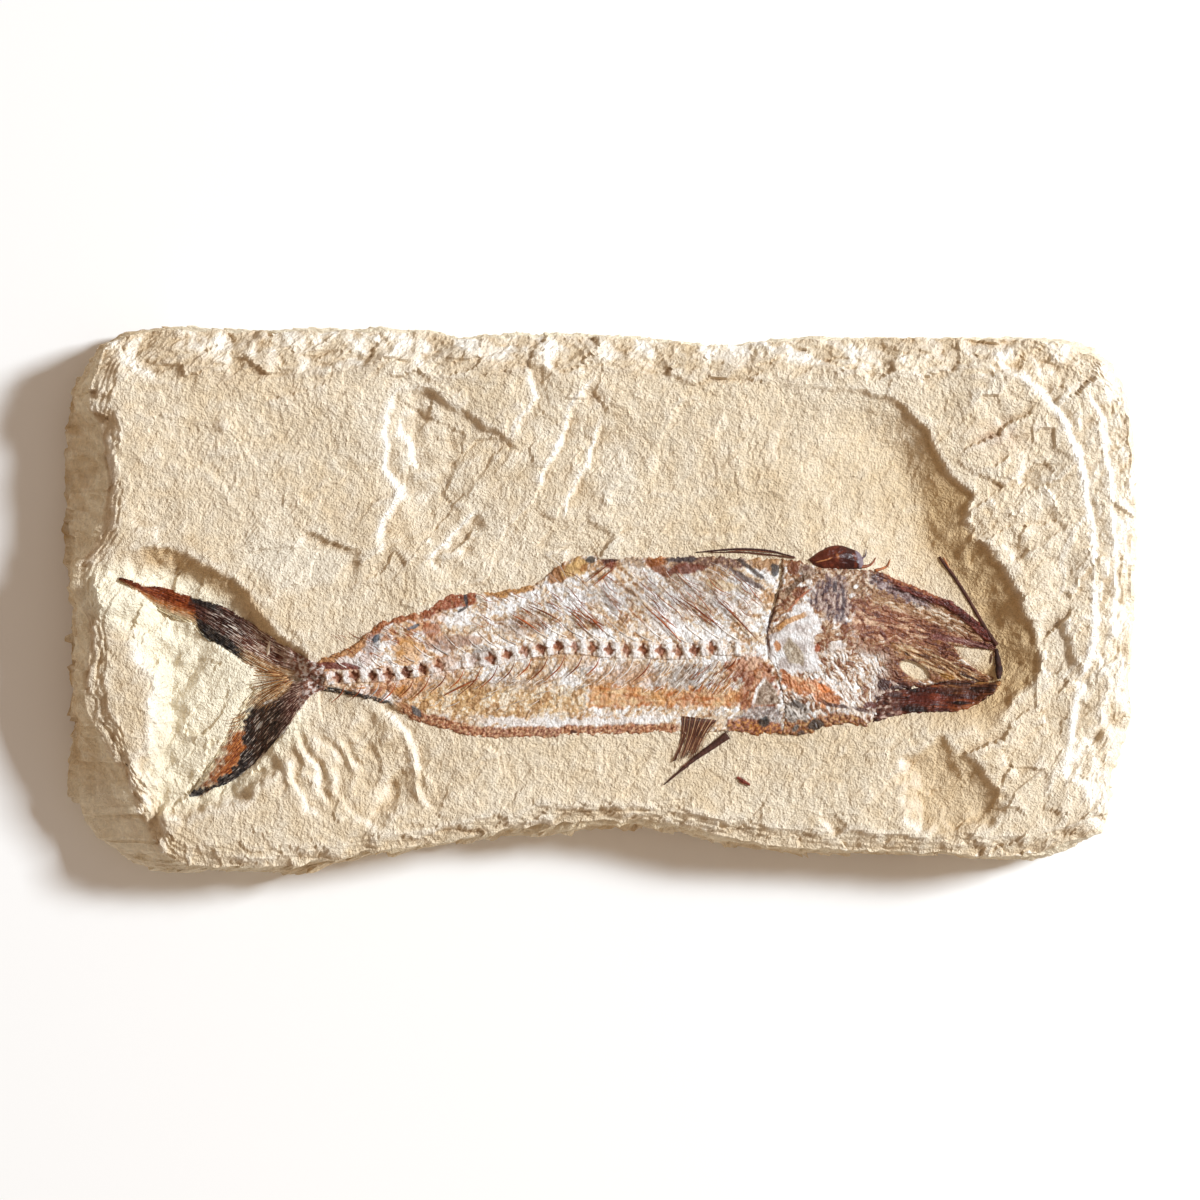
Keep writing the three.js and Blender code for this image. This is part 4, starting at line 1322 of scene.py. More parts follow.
def build_backbone():
    """The chain of vertebrae: along the backbone each one is a dark hourglass hollow, leaning a
    little, between pale raised ends. To the eye the bone is porous and chalky."""
    line = smooth_curve(BACKBONE, VERTEBRAE * 16 + 1)
    along = np.gradient(line, axis=0)
    along /= np.linalg.norm(along, axis=1, keepdims=True)
    v = np.linspace(-1, 1, 23)[None, :]
    half = np.interp(line[:, 0], (-80, -50, 10, 44), (2.3, 2.3, 2.8, 2.5))[:, None]
    x = line[:, :1] - along[:, 1:] * half * v
    y = line[:, 1:] + along[:, :1] * half * v
    phase = np.linspace(0, VERTEBRAE, len(line))[:, None] + 0.09 * v + 0.08 * noise(x, y, 3, 131)
    offset = phase - np.floor(phase) - 0.5
    uneven = np.random.default_rng(134).uniform(0.45, 1.0, VERTEBRAE + 2)
    uneven = uneven[np.clip(phase.astype(int), 0, VERTEBRAE + 1)]
    star = (np.abs(offset) / 0.34)**0.75 + (np.abs(v) / 0.9)**0.8
    dark = smooth((1.1 - star + 0.35 * noise(x, y, 1.2, 132)) / 0.22) * uneven
    faint = np.exp(-((x + 39) / 7)**2)
    dark = dark * (1 - 0.85 * faint)
    pale = smooth((np.abs(offset) - 0.26) / 0.12) * smooth((0.95 - np.abs(v)) / 0.25)
    rim = smooth((1 - np.abs(v)) / 0.22)
    ends = smooth((x + 80) / 3) * smooth((43 - x) / 3)
    lift = -0.9 + (1.2 * rim + 0.35 * pale - 0.9 * dark) * ends
    height = trunk_height(x, y) + lift
    c = trunk_colours(x, y)
    c = layers(
        c,
        (rim * 0.35, "#cdae98"),
        (pale * (1 - faint) * 0.8 * smooth(0.9 + noise(x, y, 1.5, 135)), "#f4efeb"),
        (smooth(dark * 1.6) * 0.9, "#9d5c36"),
        (dark * smooth(noise(x, y, 1.0, 133) * 2 + 0.3) * 0.75, "#5f2f1c"),
        (dark * smooth((-45 - x) / 10) * 0.5, "#4c241b"),
    )
    points, faces, source = lying_sheet(np.stack((x, y, height), -1), 1.2)
    make_object(
        "vertebrae", points, faces,
        bone_material("porous fossil vertebra bone", 0.5, 0.0, 0.5, 0, 0.3),
        ["backbone"], c.reshape(-1, 3)[source],
    )


def build_ribs(settings):
    """Ribs and spines on the body film: one above and one below each vertebra, slanting towards
    the tail, with the few that stand out most. To the eye they are dark glossy hairs."""
    rng = np.random.default_rng(140)
    line = smooth_curve(BACKBONE, VERTEBRAE + 1)[2:-1]
    dark, pale = [], []
    for x, y in line:
        size = np.interp(x, (-80, -50, 0, 44), (3, 5, 8, 9)) * rng.uniform(0.6, 1.1)
        slope = rng.uniform(0.6, 0.95)
        pale.append((
            [(x, y + 2.6), (x - 0.5 * size, y + 2.4 + 0.4 * size * slope),
             (x - size, y + 2.4 + size * slope)],
            (0.4, 0.35, 0.1), 0.0,
        ))
        size = np.interp(x, (-80, -50, 0, 44), (5, 8, 8, 5)) * rng.uniform(0.7, 1.1)
        group = dark if -44 < x < -3 or rng.uniform() < 0.25 else pale
        group.append((
            [(x - 0.3, y - 2.4), (x - 0.25 * size, y - 2.2 - 0.45 * size),
             (x - 0.75 * size, y - 2.2 - 0.9 * size)],
            (0.15, 0.5, 0.12), 1.1,
        ))
    for count, low, high, slant, reach, group in (
        (64, (-6, -8), (46, 4), 138, 10, dark), (44, (-34, -9), (2, 1), 148, 6, dark),
        (44, (-10, -8), (46, 7), 138, 9, pale), (60, (16, -24), (38, -17), 232, 5, pale),
        (34, (26, -26), (43, -17), 228, 5, dark), (30, (-74, -20), (-46, -9), 150, 5, dark),
        (26, (-46, -30), (-8, -22), 205, 5, pale), (26, (-6, -25), (20, -17), 215, 4, pale),
    ):
        for cx, cy in rng.uniform(low, high, (count, 2)):
            angle = math.radians(slant + rng.uniform(-9, 9))
            step = np.array([math.cos(angle), math.sin(angle)]) * reach * rng.uniform(0.35, 1.0)
            bow = rng.uniform(-0.12, 0.12) * np.array([-step[1], step[0]])
            wide = rng.uniform(0.13, 0.3)
            group.append((
                [(cx, cy), (cx, cy) + step / 2 + bow, (cx, cy) + step],
                (0.5 * wide, wide, 0.4 * wide), 0.8,
            ))
    for points in (
        [(-11, -6), (-20, -1.5)], [(-17, -9), (-25, -4)], [(-4, -7.5), (-9, -3)],
        [(1, -9), (-4, -4)], [(34, -8), (22, 1)], [(23, -12), (13, -2)], [(44, -11), (32, 1)],
        [(4, 9), (-2, 4)], [(3, 10.5), (-4, 5)], [(-44, -27), (-34, -22)],
    ):
        dark.append(([points[0], mix(*np.array(points, float), 0.5) + 0.2, points[1]],
                     (0.2, 0.55, 0.15), 0.8))
    material = bone_material("glossy hair-thin rib bone", 0.4, 0.1, 0.4, 0, 0.1)
    for name, lines, colour, shares, seed in (
        ("dark_ribs", dark, settings.dark_rib, (1.0, 0.6, 1.3, 0.8), 3),
        ("pale_ribs", pale, settings.pale_rib, (1.0, 0.8, 1.15, 0.6), 5),
    ):
        lines = [(points, np.multiply(wide, settings.rib_width), lift)
                 for points, wide, lift in lines]
        strand_piece(name, lines, [share * np.array(colour) for share in shares], material,
                     [], steps=9, sides=5, seed=seed, over=film_level)


# ---------------------------------------------------------------- the head

EYE_HOLLOW = (88.8, -19.8, 4.6, 2.1, -27.0)
ROOF_BAND = [(82, 5), (88, 2.9), (94, 0.2), (98.5, -1.2), (102, -3.8), (106, -7.2), (109.5, -10.4)]
OPERCLE = [
    (51, -8), (54, -2.4), (57, -0.4), (62.4, -6), (60, -12), (62, -20), (52, -20.5), (48, -17),
    (47.8, -10),
]


def skull_zones(x, y):
    """The places that both the skull's relief and its colours are made from, each 0 to 1."""
    u, v = turned(x - EYE_HOLLOW[0], y - EYE_HOLLOW[1], EYE_HOLLOW[4], 1.0)
    roof, _, share = along_line(x, y, ROOF_BAND)
    roof = smooth((1.5 + 0.3 * fractal(x, y, 3, 151) - roof) / 0.6)
    snout = smooth((x - 70) / 8)
    throat = smooth((-11 - y) / 6) * (1 - smooth((x - 78) / 8))
    return {
        "eye": smooth((1.12 - np.hypot(u / EYE_HOLLOW[2], v / EYE_HOLLOW[3])) / 0.3),
        "roof": roof * smooth(share / 0.1 + 0.2),
        "opercle": patch(x, y, OPERCLE, 0.8, 0.7, 12),
        "snout": snout * (1 - throat),
        "throat": throat,
    }


def skull_flakes(x, y, zones, scale=1.0):
    """The head's splinters: long ones along the snout in front, steep ones at the throat, and
    crumpled flakes on the cheek, each as a random number, the distance from its edge, its tilt."""
    wx = x + 1.0 * fractal(x, y, 4.0, 150, 2)
    wy = y + 1.0 * fractal(x, y, 4.0, 151, 2)
    loose = shards(*turned(wx, wy, 20, 1.4), 2.0 * scale, 152)
    front = shards(*turned(wx, wy, -13, 6.0), 0.9 * scale, 153)
    steep = shards(*turned(wx, wy, -54, 3.6), 0.95 * scale, 154)
    wander = 0.3 * fractal(x, y, 3.0, 155, 2)
    ahead = zones["snout"] + wander > 0.5
    below = zones["throat"] + wander > 0.5
    return [
        np.where(below, low, np.where(ahead, far, near))
        for near, far, low in zip(loose, front, steep)
    ]


def skull_height(x, y):
    """Upper side of the skull: the bed, the bone, a low dome over the cheek, the tilts of its
    splinters, the raised bar along the roof, the gill cover's smooth plate, and the hollow behind
    the mouth."""
    zones = skull_zones(x, y)
    dome = 1.3 * np.exp(-((x - 68) / 20)**2 - ((y + 9) / 15)**2)
    _, gap, tilt = skull_flakes(x, y, zones)
    _, small_gap, small_tilt = skull_flakes(x, y, zones, 0.45)
    splinters = 0.34 * tilt + 0.16 * small_tilt + 0.2 * smooth(gap / 0.3)
    splinters = splinters + 0.1 * smooth(small_gap / 0.3) + fractal(x, y, 0.9, 156, 2) * 0.1
    splinters = splinters + 0.22 * fibres(x, y, -13, 1.6, 161, 6) * zones["snout"]
    calm = 1 - 0.65 * np.maximum(zones["opercle"], zones["eye"])
    gap = smooth(depth_inside(x, y, MOUTH_GAP) / 0.8 + 0.4)
    return (
        bed_height(x, y) + film(x, y, outline_of(SKULL), 0.3) + dome + splinters * calm
        + 0.55 * zones["roof"] + 0.3 * zones["opercle"] - 1.2 * zones["eye"] - 2.6 * gap
    )


def by_tone(colours, share, tone, steps):
    """Paints flakes by their random numbers: each step is the number it starts from and its
    colour, in rising order."""
    for start, colour in steps:
        colours = paint(colours, share * smooth((tone - start) / 0.25), colour)
    return colours


def skull_colours(x, y):
    """The head's colours, laid on in turn over pinkish brown-and-white fibres."""
    zones = skull_zones(x, y)
    tone, gap, _ = skull_flakes(x, y, zones)
    small, small_gap, _ = skull_flakes(x, y, zones, 0.45)
    grain = 0.55 * tone + 0.5 * small
    fleck = fractal(x, y, 1.4, 157, 3, 0.7)
    grit = fractal(x, y, 0.9, 158, 2)
    front = fibres(x, y, -13, 0.8, 159, 9)
    mixed = grain + 0.4 * fractal(x, y, 6.0, 167, 2) + 0.3 * fleck
    c = by_tone(plain(x.shape, "#7c4a30"), 1.0, mixed, (
        (-0.6, "#a5764f"), (-0.25, "#cfb296"), (0.05, "#b8926f"), (0.25, "#efe5db"),
        (0.55, "#fbf9f6"),
    ))
    c = by_tone(c, zones["throat"], mixed, (
        (-1.5, "#845638"), (-0.6, "#bd9a78"), (-0.3, "#ece0d4"), (0.1, "#d0b398"),
        (0.3, "#fbf8f4"),
    ))
    c = by_tone(c, zones["snout"] * 0.95, mixed, (
        (-1.5, "#53281a"), (-0.6, "#7f4a31"), (-0.2, "#a3734e"), (0.1, "#85532f"),
        (0.35, "#c9a47f"), (0.7, "#efe3d6"),
    ))
    c = layers(
        c,
        (smooth((0.16 - gap) / 0.16) * 0.5 * smooth(fleck + 0.7), "#54281e"),
        (smooth((0.14 - small_gap) / 0.14) * 0.35 * smooth(fleck + 0.5), "#6d4232"),
    )
    band = [(71, 0), (80, -1.5), (92, -4), (103, -9), (104, -12.5), (95, -11), (80, -12),
            (71, -10)]
    c = grained(c, patch(x, y, band, 2, 1.8, 13), 0.6 * mixed + 0.5 * front, "#8f5638", "#d6b190",
                "#54281c", 0.75)
    upper = [(76, 6), (84, 3), (93, -1), (103, -6), (108, -11), (98, -8), (88, -4), (76, -1)]
    fibrous = 0.6 * grain + 0.5 * fibres(x, y, -25, 0.9, 160)
    c = grained(c, patch(x, y, upper, 1.5, 1.2, 14), fibrous, "#b08a62", "#ecdcc6", "#6b3d24",
                0.65)
    cloud = fractal(x, y, 4.0, 169, 2)
    nape = [(58, 9), (76, 8), (79, 5), (74, 0), (70, 3), (62, 4), (57, 6)]
    c = grained(c, patch(x, y, nape, 1.2, 1.0, 15), fleck, "#a67f5c", "#e6d5c0", "#66432f", 0.85)
    temple = [(60, 3), (64, 7), (69, 6.5), (70.5, 0), (69.5, -7), (64, -5), (59, -1)]
    c = grained(c, patch(x, y, temple, 1.8, 1.6, 16), fibres(x, y, 82, 0.9, 161) + 0.5 * fleck,
                "#836a66", "#c9b3a6", "#42303a", 0.75)
    strip = stripe(x, y, [(75.5, 7), (80, 4.2), (86, 1.4), (94, -1.6)], 2.8, 0.8, 17)
    c = grained(c, strip, fibres(x, y, -24, 0.8, 162) + 0.5 * fleck, "#6b5254", "#b8a4a0",
                "#2c1c1c", 0.85)
    c = grained(c, zones["opercle"], fractal(x, y, 2.6, 163, 3), "#ece6e2", "#fdfcfb", "#bdafa8")
    c = layers(
        c,
        (stripe(x, y, [(49.8, -8.6), (52.5, -6), (58.5, -3.8)], 1.5, 0.3) * 0.85, "#cf9656"),
        (stripe(x, y, [(52.4, -3.6), (56, 0.5), (59.8, 3.6)], 0.6, 0.3) * 0.8, "#b56a48"),
    )
    triangle = [(53, -10.4), (57.4, -15.2), (57.2, -18.4), (53, -17.4), (51.4, -13.6)]
    c = grained(c, patch(x, y, triangle, 0.8, 0.3, 18), fleck, "#b3a086", "#d3c7b4", "#948069",
                0.9)
    gold = [(82, -12), (92, -14), (101, -18.5), (110.5, -23.6), (104, -23.5), (95, -21.5),
            (90, -17), (84, -16.2)]
    c = grained(c, patch(x, y, gold, 1.2, 0.8, 19), fibres(x, y, -26, 0.8, 164),
                "#9c6c3f", "#dcc098", "#4c2b18", 0.85)
    ridge = [(92, -10), (100, -11.2), (107, -12.6), (112, -13.7)]
    c = grained(c, stripe(x, y, ridge, 1.7, 0.3, 20), front, "#74403a", "#a9827a", "#46231f",
                0.85)
    flame = [(51, -20), (56, -21.5), (62, -22.6), (66, -26), (69, -29.5), (62, -30), (60, -27),
             (54, -25.6), (50.6, -23)]
    c = grained(c, patch(x, y, flame, 1.2, 1.4, 21), 0.6 * fleck + 0.5 * cloud, "#d38a56",
                "#f0c9a2", "#a65c30", 0.9)
    joint = [(77, -21), (84, -23), (92, -24), (90, -30), (84, -33), (76, -31), (78, -26)]
    c = grained(c, patch(x, y, joint, 1.2, 1.8, 22), grain, "#6a3828", "#dcc7b6", "#2f1712", 0.7)
    rust = [(51, -33.5), (58, -34), (66, -31.5), (76, -33), (77, -37), (51, -39)]
    c = grained(c, patch(x, y, rust, 0.9, 0.9, 23), grit, "#9c5f2f", "#c9a06a", "#5b3019", 0.92)
    slate = [(50, -29), (56, -28), (59, -31), (58, -34), (50, -33.5)]
    c = grained(c, patch(x, y, slate, 1, 0.9, 24), fleck, "#9c8f82", "#d6cdc2", "#564c44", 0.75)
    c = paint(c, stripe(x, y, [(54.4, -30.5), (56.5, -33.2)], 0.9, 0.2) * 0.9, "#ece2d8")
    for line, wide, tone in (
        ([(61.6, -27.6), (64, -29.4), (70, -30.2), (77, -31.6)], 1.1, "#46221c"),
        ([(69, -29), (74, -33), (76, -35)], 0.8, "#ead8c8"),
        ([(62, -21), (68, -27), (72, -30.5)], 0.6, "#f6efe9"),
        ([(65, -17), (70, -23.5), (73, -29)], 0.7, "#f6efe9"),
        ([(68, 5), (68.6, 0), (68.4, -6)], 0.9, "#3d2f35"),
        ([(66, 5.5), (66.2, 2)], 1.2, "#4d4549"),
        ([(51.6, 1.2), (55.5, 5), (60, 8.2)], 1.7, "#664b33"),
        ([(92, -24.4), (98, -23.2), (104, -23.9), (110, -23.4)], 0.9, "#2b1614"),
        ([(79, -8.5), (81, -11.5)], 1.0, "#5f2f26"), ([(74, -9.6), (78, -11)], 0.8, "#6e4030"),
        ([(101, -20.6), (105, -22), (109.5, -24)], 0.7, "#2d1713"),
        (GILL_LINE[3:7], 0.9, "#5a3a30"),
    ):
        c = paint(c, stripe(x, y, line, wide, 0.3, 25) * 0.88, tone)
    c = grained(c, zones["roof"], fibres(x, y, -32, 0.8, 165), "#5c2520", "#7d3a2c", "#3c1715",
                0.95)
    brim, _, share = along_line(x, y, SKULL["top"])
    brim = smooth((1.5 + 0.4 * fractal(x, y, 2, 166) - brim) / 0.6) * smooth((share - 0.42) / 0.05)
    c = grained(c, brim * smooth((100 - x) / 8), grit, "#8f4a2b", "#c18a5e", "#5a2518", 0.9)
    c = grained(c, brim * smooth((x - 94) / 6), grit, "#5c2620", "#7a3a30", "#3a1614", 0.9)
    c = spots(c, x, y, (
        (63, -25, 2.2, 1.1, -25, "#e08446"), (50, -13, 1.1, 1.5, 0, "#d18c55"),
        (61.2, -13.4, 0.9, 1.1, 0, "#a8552f"), (72.1, 3.8, 1.9, 1.6, 0, "#8f6f52"),
        (72.1, 3.8, 0.9, 0.6, 30, "#f3eee8"), (60.6, -35.2, 2.4, 1.6, 10, "#3b342d"),
        (55.4, -29.2, 1.9, 1.0, -20, "#5f564e"), (56.6, -37.6, 1.3, 1.0, 0, "#4b3c33"),
        (55, -36, 1.2, 0.7, 40, "#6a635c"), (57.8, 8.6, 2.2, 1.5, 0, "#a58a76"),
        (57.9, 8.9, 1.1, 0.8, 0, "#6d4a3a"), (49.3, 8.3, 1.3, 2.0, 0, "#3d3938"),
        (84.6, -24.8, 2.6, 0.7, 0, "#4c3a38"), (80, -24, 1.8, 1.6, 40, "#3a1c1a"),
        (77, -29.6, 3, 0.9, 5, "#5c2c24"), (98, -21.6, 2.4, 0.8, -10, "#a9783c"),
    ))
    c = paint(c, 0.1, "#5a3020")
    return paint(c, zones["eye"] * 0.95, "#dccdae")


def build_skull():
    """The skull: to the eye splintered bone, glossy where dark and chalky where white."""
    sheet_piece(
        "skull_bones", SKULL, 300, 200, skull_height, skull_colours,
        bone_material("splintered skull bone", 0.48, 0.1, 0.6, 13, 0.3), ["skull"],
    )


def jaw_height(x, y):
    """Upper side of the lower jaw: a bar rounded across, with long splinters on it."""
    edge = depth_inside(x, y, outline_of(LOWER_JAW))
    bar = 1.1 * np.sqrt(np.clip(edge / 4.0, 0, 1))
    _, gap, tilt = shards(*turned(x, y, -4, 7.0), 0.85, 171)
    splinters = 0.3 * tilt + 0.22 * smooth(gap / 0.3) + fractal(x, y, 1.0, 172, 2) * 0.12
    return bed_height(x, y) + film(x, y, outline_of(LOWER_JAW), 0.1, 1.0) + bar + splinters


def jaw_colours(x, y):
    """The lower jaw's colours: nearly black splinters, with red, gold and orange among them."""
    tone, gap, _ = shards(*turned(x, y, -4, 7.0), 0.85, 171)
    grain = 0.6 * tone + 0.5 * fibres(x, y, -2, 0.9, 173, 9)
    fleck = fractal(x, y, 1.6, 174, 3)
    c = by_tone(plain(x.shape, "#240f0a"), 1.0, grain + 0.3 * fleck, (
        (-0.6, "#43190e"), (-0.1, "#5b2614"), (0.35, "#7d3d20"), (0.8, "#a8713f"),
    ))
    c = paint(c, smooth((0.15 - gap) / 0.15) * 0.6, "#170c0b")
    rear = smooth((86 - x) / 4)
    c = grained(c, rear, 0.6 * grain + 0.6 * fleck, "#5f3526", "#c9ad9c", "#301b17", 0.85)
    front = smooth((x - 95) / 4) * smooth((y + 27.5) / 3)
    c = grained(c, front, grain, "#573320", "#a3713f", "#22120f", 0.7)
    return spots(c, x, y, (
        (91.5, -28, 5, 1.6, 4, "#5c2419"), (94.5, -27.4, 1.6, 1.0, 0, "#7c3722"),
        (88.6, -30.6, 3, 1.3, 0, "#24120f"), (104, -30, 4, 0.8, 14, "#8f5028"),
        (100, -30.8, 1.6, 0.7, 0, "#7c4022"), (107, -27.8, 2.4, 0.8, 30, "#6d3b20"),
        (110.8, -24.2, 1.5, 1.3, 30, "#331714"), (83, -26.6, 2.5, 0.6, 0, "#3f2a28"),
    ), 0.7)


def plate_height(x, y):
    """Upper side of the nape plate: a smooth dome with a few fine facets."""
    edge = depth_inside(x, y, outline_of(NAPE_PLATE))
    dome = 2.1 * np.sqrt(np.clip(edge / 3.2, 0, 1.0))
    facet = 0.25 * fractal(*turned(x, y, 12, 2.0), 2.2, 182, 3, 0.6)
    return bed_height(x, y) + 0.1 + dome + facet * smooth(edge / 1.0)


def plate_colours(x, y):
    """The nape plate's colours: chestnut at the left to black-maroon at the right."""
    c = plain(x.shape, "#56200f")
    c = layers(
        c,
        (smooth((x - 65) / 5), "#35120d"),
        (smooth(fractal(x, y, 1.8, 183, 3) * 2 - 0.3) * 0.5, "#7d3720"),
        (stripe(x, y, [(60.6, 10.6), (64, 11.4), (65.4, 12)], 0.35, 0.2) * 0.8, "#c78352"),
        (stripe(x, y, [(66.6, 13), (67.2, 11.6)], 0.7, 0.3) * 0.8, "#a9693f"),
    )
    corner = [(71.8, 14), (75, 14), (75, 9), (73.2, 9)]
    return paint(c, patch(x, y, corner, 0.5, 0.3, 26), "#7c6d75")


def build_jaw():
    """The lower jaw: to the eye dark splintered bone with a waxy gleam."""
    material = bone_material("dark splintered jaw bone", 0.48, 0.08, 0.6, 5, 0.22)
    sheet_piece("jaw_bone", LOWER_JAW, 170, 60, jaw_height, jaw_colours, material,
                ["lower_jaw"])


def build_nape_plate():
    """The nape plate and its two hooked scales: to the eye polished as if varnished."""
    material = bone_material("polished dark enamel plate", 0.42, 0.1, 0.6, 0, 0.16)
    sheet_piece("nape_plate_dome", NAPE_PLATE, 90, 44, plate_height, plate_colours, material,
                ["nape_plate"], 0.8)
    strand_piece(
        "nape_hooks",
        [
            ([(73.4, 9.3), (75.4, 9.6), (76.8, 10.4), (77.8, 12)], (1.1, 0.8, 0.5, 0.2), 0.4),
            ([(77.6, 8.3), (80, 9.0), (81.2, 9.8), (81.9, 11.6)], (1.1, 0.8, 0.5, 0.2), 0.4),
            ([(73.8, 11.6), (74.8, 12.6), (75.0, 14.4)], (0.5, 0.4, 0.15), 0.4),
        ],
        ("#8a4a2a", "#a05c30", "#6a5560"), material, [],
    )


def build_rods():
    """The slender bones ahead of the mouth, over the back and on the stone: to the eye almost
    black, rounded and smooth."""
    material = bone_material("smooth dark rod bone", 0.7, 0.0, 0.5, 0, 0.25)
    for name, node, lines, tones in (
        ("long_rod", "jaw_rod_long", [
            ([(95.8, 12.2), (97.6, 9.6), (99.8, 6.8), (103.6, 0.9), (107, -4.9), (109.8, -9.5),
              (112.1, -12.8)], (0.6, 1.0, 0.95, 0.9, 1.0, 1.1, 1.2), 0.35),
            ([(96.9, 12.0), (97.9, 10.2), (98.8, 8.4)], (0.3, 0.5, 0.3), 0.35),
            ([(108.2, -7.6), (109.8, -10.6), (110.9, -12.2)], (0.3, 0.6, 0.4), 0.3),
        ], ("#4a2618", "#a86238", "#5a3020")),
        ("short_rod", "jaw_rod_short", [
            ([(111.9, -13.8), (112.2, -16.0), (112.6, -19), (112.5, -22.2)],
             (0.9, 1.4, 2.1, 1.5), 0.35),
            ([(110.6, -15), (110.5, -16.4), (110.2, -18)], (0.2, 0.6, 0.2), 0.3),
        ], ("#35190f", "#53301e")),
        ("dorsal_ray_strands", "dorsal_ray", [
            ([(27, 13.4), (38, 14.3), (47, 13.9), (54.8, 12.1)], (0.3, 0.6, 0.65, 0.3), 0.3),
            ([(31, 13.4), (40, 13.4), (48, 12.7), (55, 11.8)], (0.2, 0.5, 0.5, 0.3), 0.3),
            ([(36, 13.7), (42, 13.9), (50, 13.2)], (0.15, 0.35, 0.15), 0.32),
        ], ("#41231c", "#57301f", "#8d5a40")),
        ("fin_spine", "pelvic_spine", [
            ([(36, -38), (33.4, -39.9), (30, -42.3), (26, -45.2), (22, -48.6), (18, -52)],
             (2.2, 1.7, 1.5, 1.2, 0.7, 0.25), 0.3),
            ([(32, -40), (28, -43.4), (23, -47)], (0.3, 0.5, 0.2), 0.5),
        ], ("#4a2a20", "#7d4c36")),
        ("splint", "stray_splint", [
            ([(38.6, -49.9), (40.4, -51), (42.2, -52.1)], (0.7, 1.1, 0.6), 0.3),
            ([(39, -50.9), (40.8, -51.9)], (0.2, 0.4, 0.2), 0.25),
        ], ("#7a3526", "#8f4a33")),
    ):
        strand_piece(name, lines, tones, material, [node], steps=28, sides=10)


# ---------------------------------------------------------------- the fins


def lobe_grid(ring, columns, rows):
    """A tail lobe's places, with the share of the way from tip to root and from the trailing to
    the leading edge."""
    flat = coons_patch(ring, columns, rows)
    u = np.broadcast_to(np.linspace(0, 1, columns)[:, None], (columns, rows))
    v = np.broadcast_to(np.linspace(0, 1, rows)[None, :], (columns, rows))
    return flat[..., 0], flat[..., 1], u, v


def ray_streaks(u, v, seed):
    """Streaks that follow the rays, about -1 to 1: a noise on the way along and across the
    lobe, about four millimetres long and a third of a millimetre wide."""
    return fractal(u * 13.0, v * 34.0, 0.9, seed, 3, 0.7)


def upper_lobe_colours(x, y, u, v, rays):
    """The upper lobe: an orange-red tip, an abrupt black middle with white between its rays, a
    maroon root, and the pale fan of rays towards the fork."""
    fleck = fractal(x, y, 1.3, 191, 3)
    streak = ray_streaks(u, v, 190)
    c = paint(plain(x.shape, "#f0dfbb"), smooth((v - 0.12) / 0.25), "#c07a3c")
    c = grained(c, smooth((v - 0.34 + 0.15 * streak) / 0.2), streak, "#8a3a18", "#b96430",
                "#5c2414", 0.95)
    c = layers(
        c,
        (smooth((v - 0.8) / 0.15) * smooth((-120 - x) / 6), "#562013"),
        (smooth(streak * 2 - 0.3) * smooth((0.55 - v) / 0.2) * 0.8, "#f2e2bd"),
    )
    border = x + 116.4 - 0.27 * (2 - y) + 1.1 * fleck + 0.8 * streak
    middle = smooth(border / 0.9)
    c = grained(c, middle, streak, "#4a281f", "#7d5342", "#261511", 0.97)
    above = smooth((v - 0.72) / 0.1) * smooth((-106 - x + fleck) / 3)
    below = smooth((0.42 - v + 0.12 * fleck) / 0.1) * smooth((-98 - x + fleck) / 3)
    black = middle * np.maximum(above, below)
    c = grained(c, black, fleck, "#2b2624", "#55493f", "#171312", 0.9)
    streaks = middle * smooth(streak * 3 - 0.5) * smooth(1 - abs(v - 0.6) / 0.36)
    c = paint(c, streaks * smooth((x + 112) / 5) * 0.9, "#f1e6d8")
    root = smooth((x + 102 + 3 * (v < 0.6)) / 6)
    c = grained(c, root * (1 - black), streak + 0.2, "#7c4632", "#ecd8c4", "#42201a", 0.9)
    c = grained(c, smooth((x + 90) / 6), fleck + 0.2, "#a97760", "#f3e9e2", "#6a372a", 0.85)
    fan = smooth((0.42 - v) / 0.1) * smooth((x + 103 + 2 * fleck) / 5) * smooth((-84.5 - x) / 4)
    c = grained(c, fan, 0.35 * rays + 0.8 * streak, "#c79c6e", "#f2e3c4", "#5a3220", 0.95)
    fade = smooth((0.12 - v + 0.06 * fleck) / 0.12)
    return paint(c, fade * 0.85, "#f2e6c9")


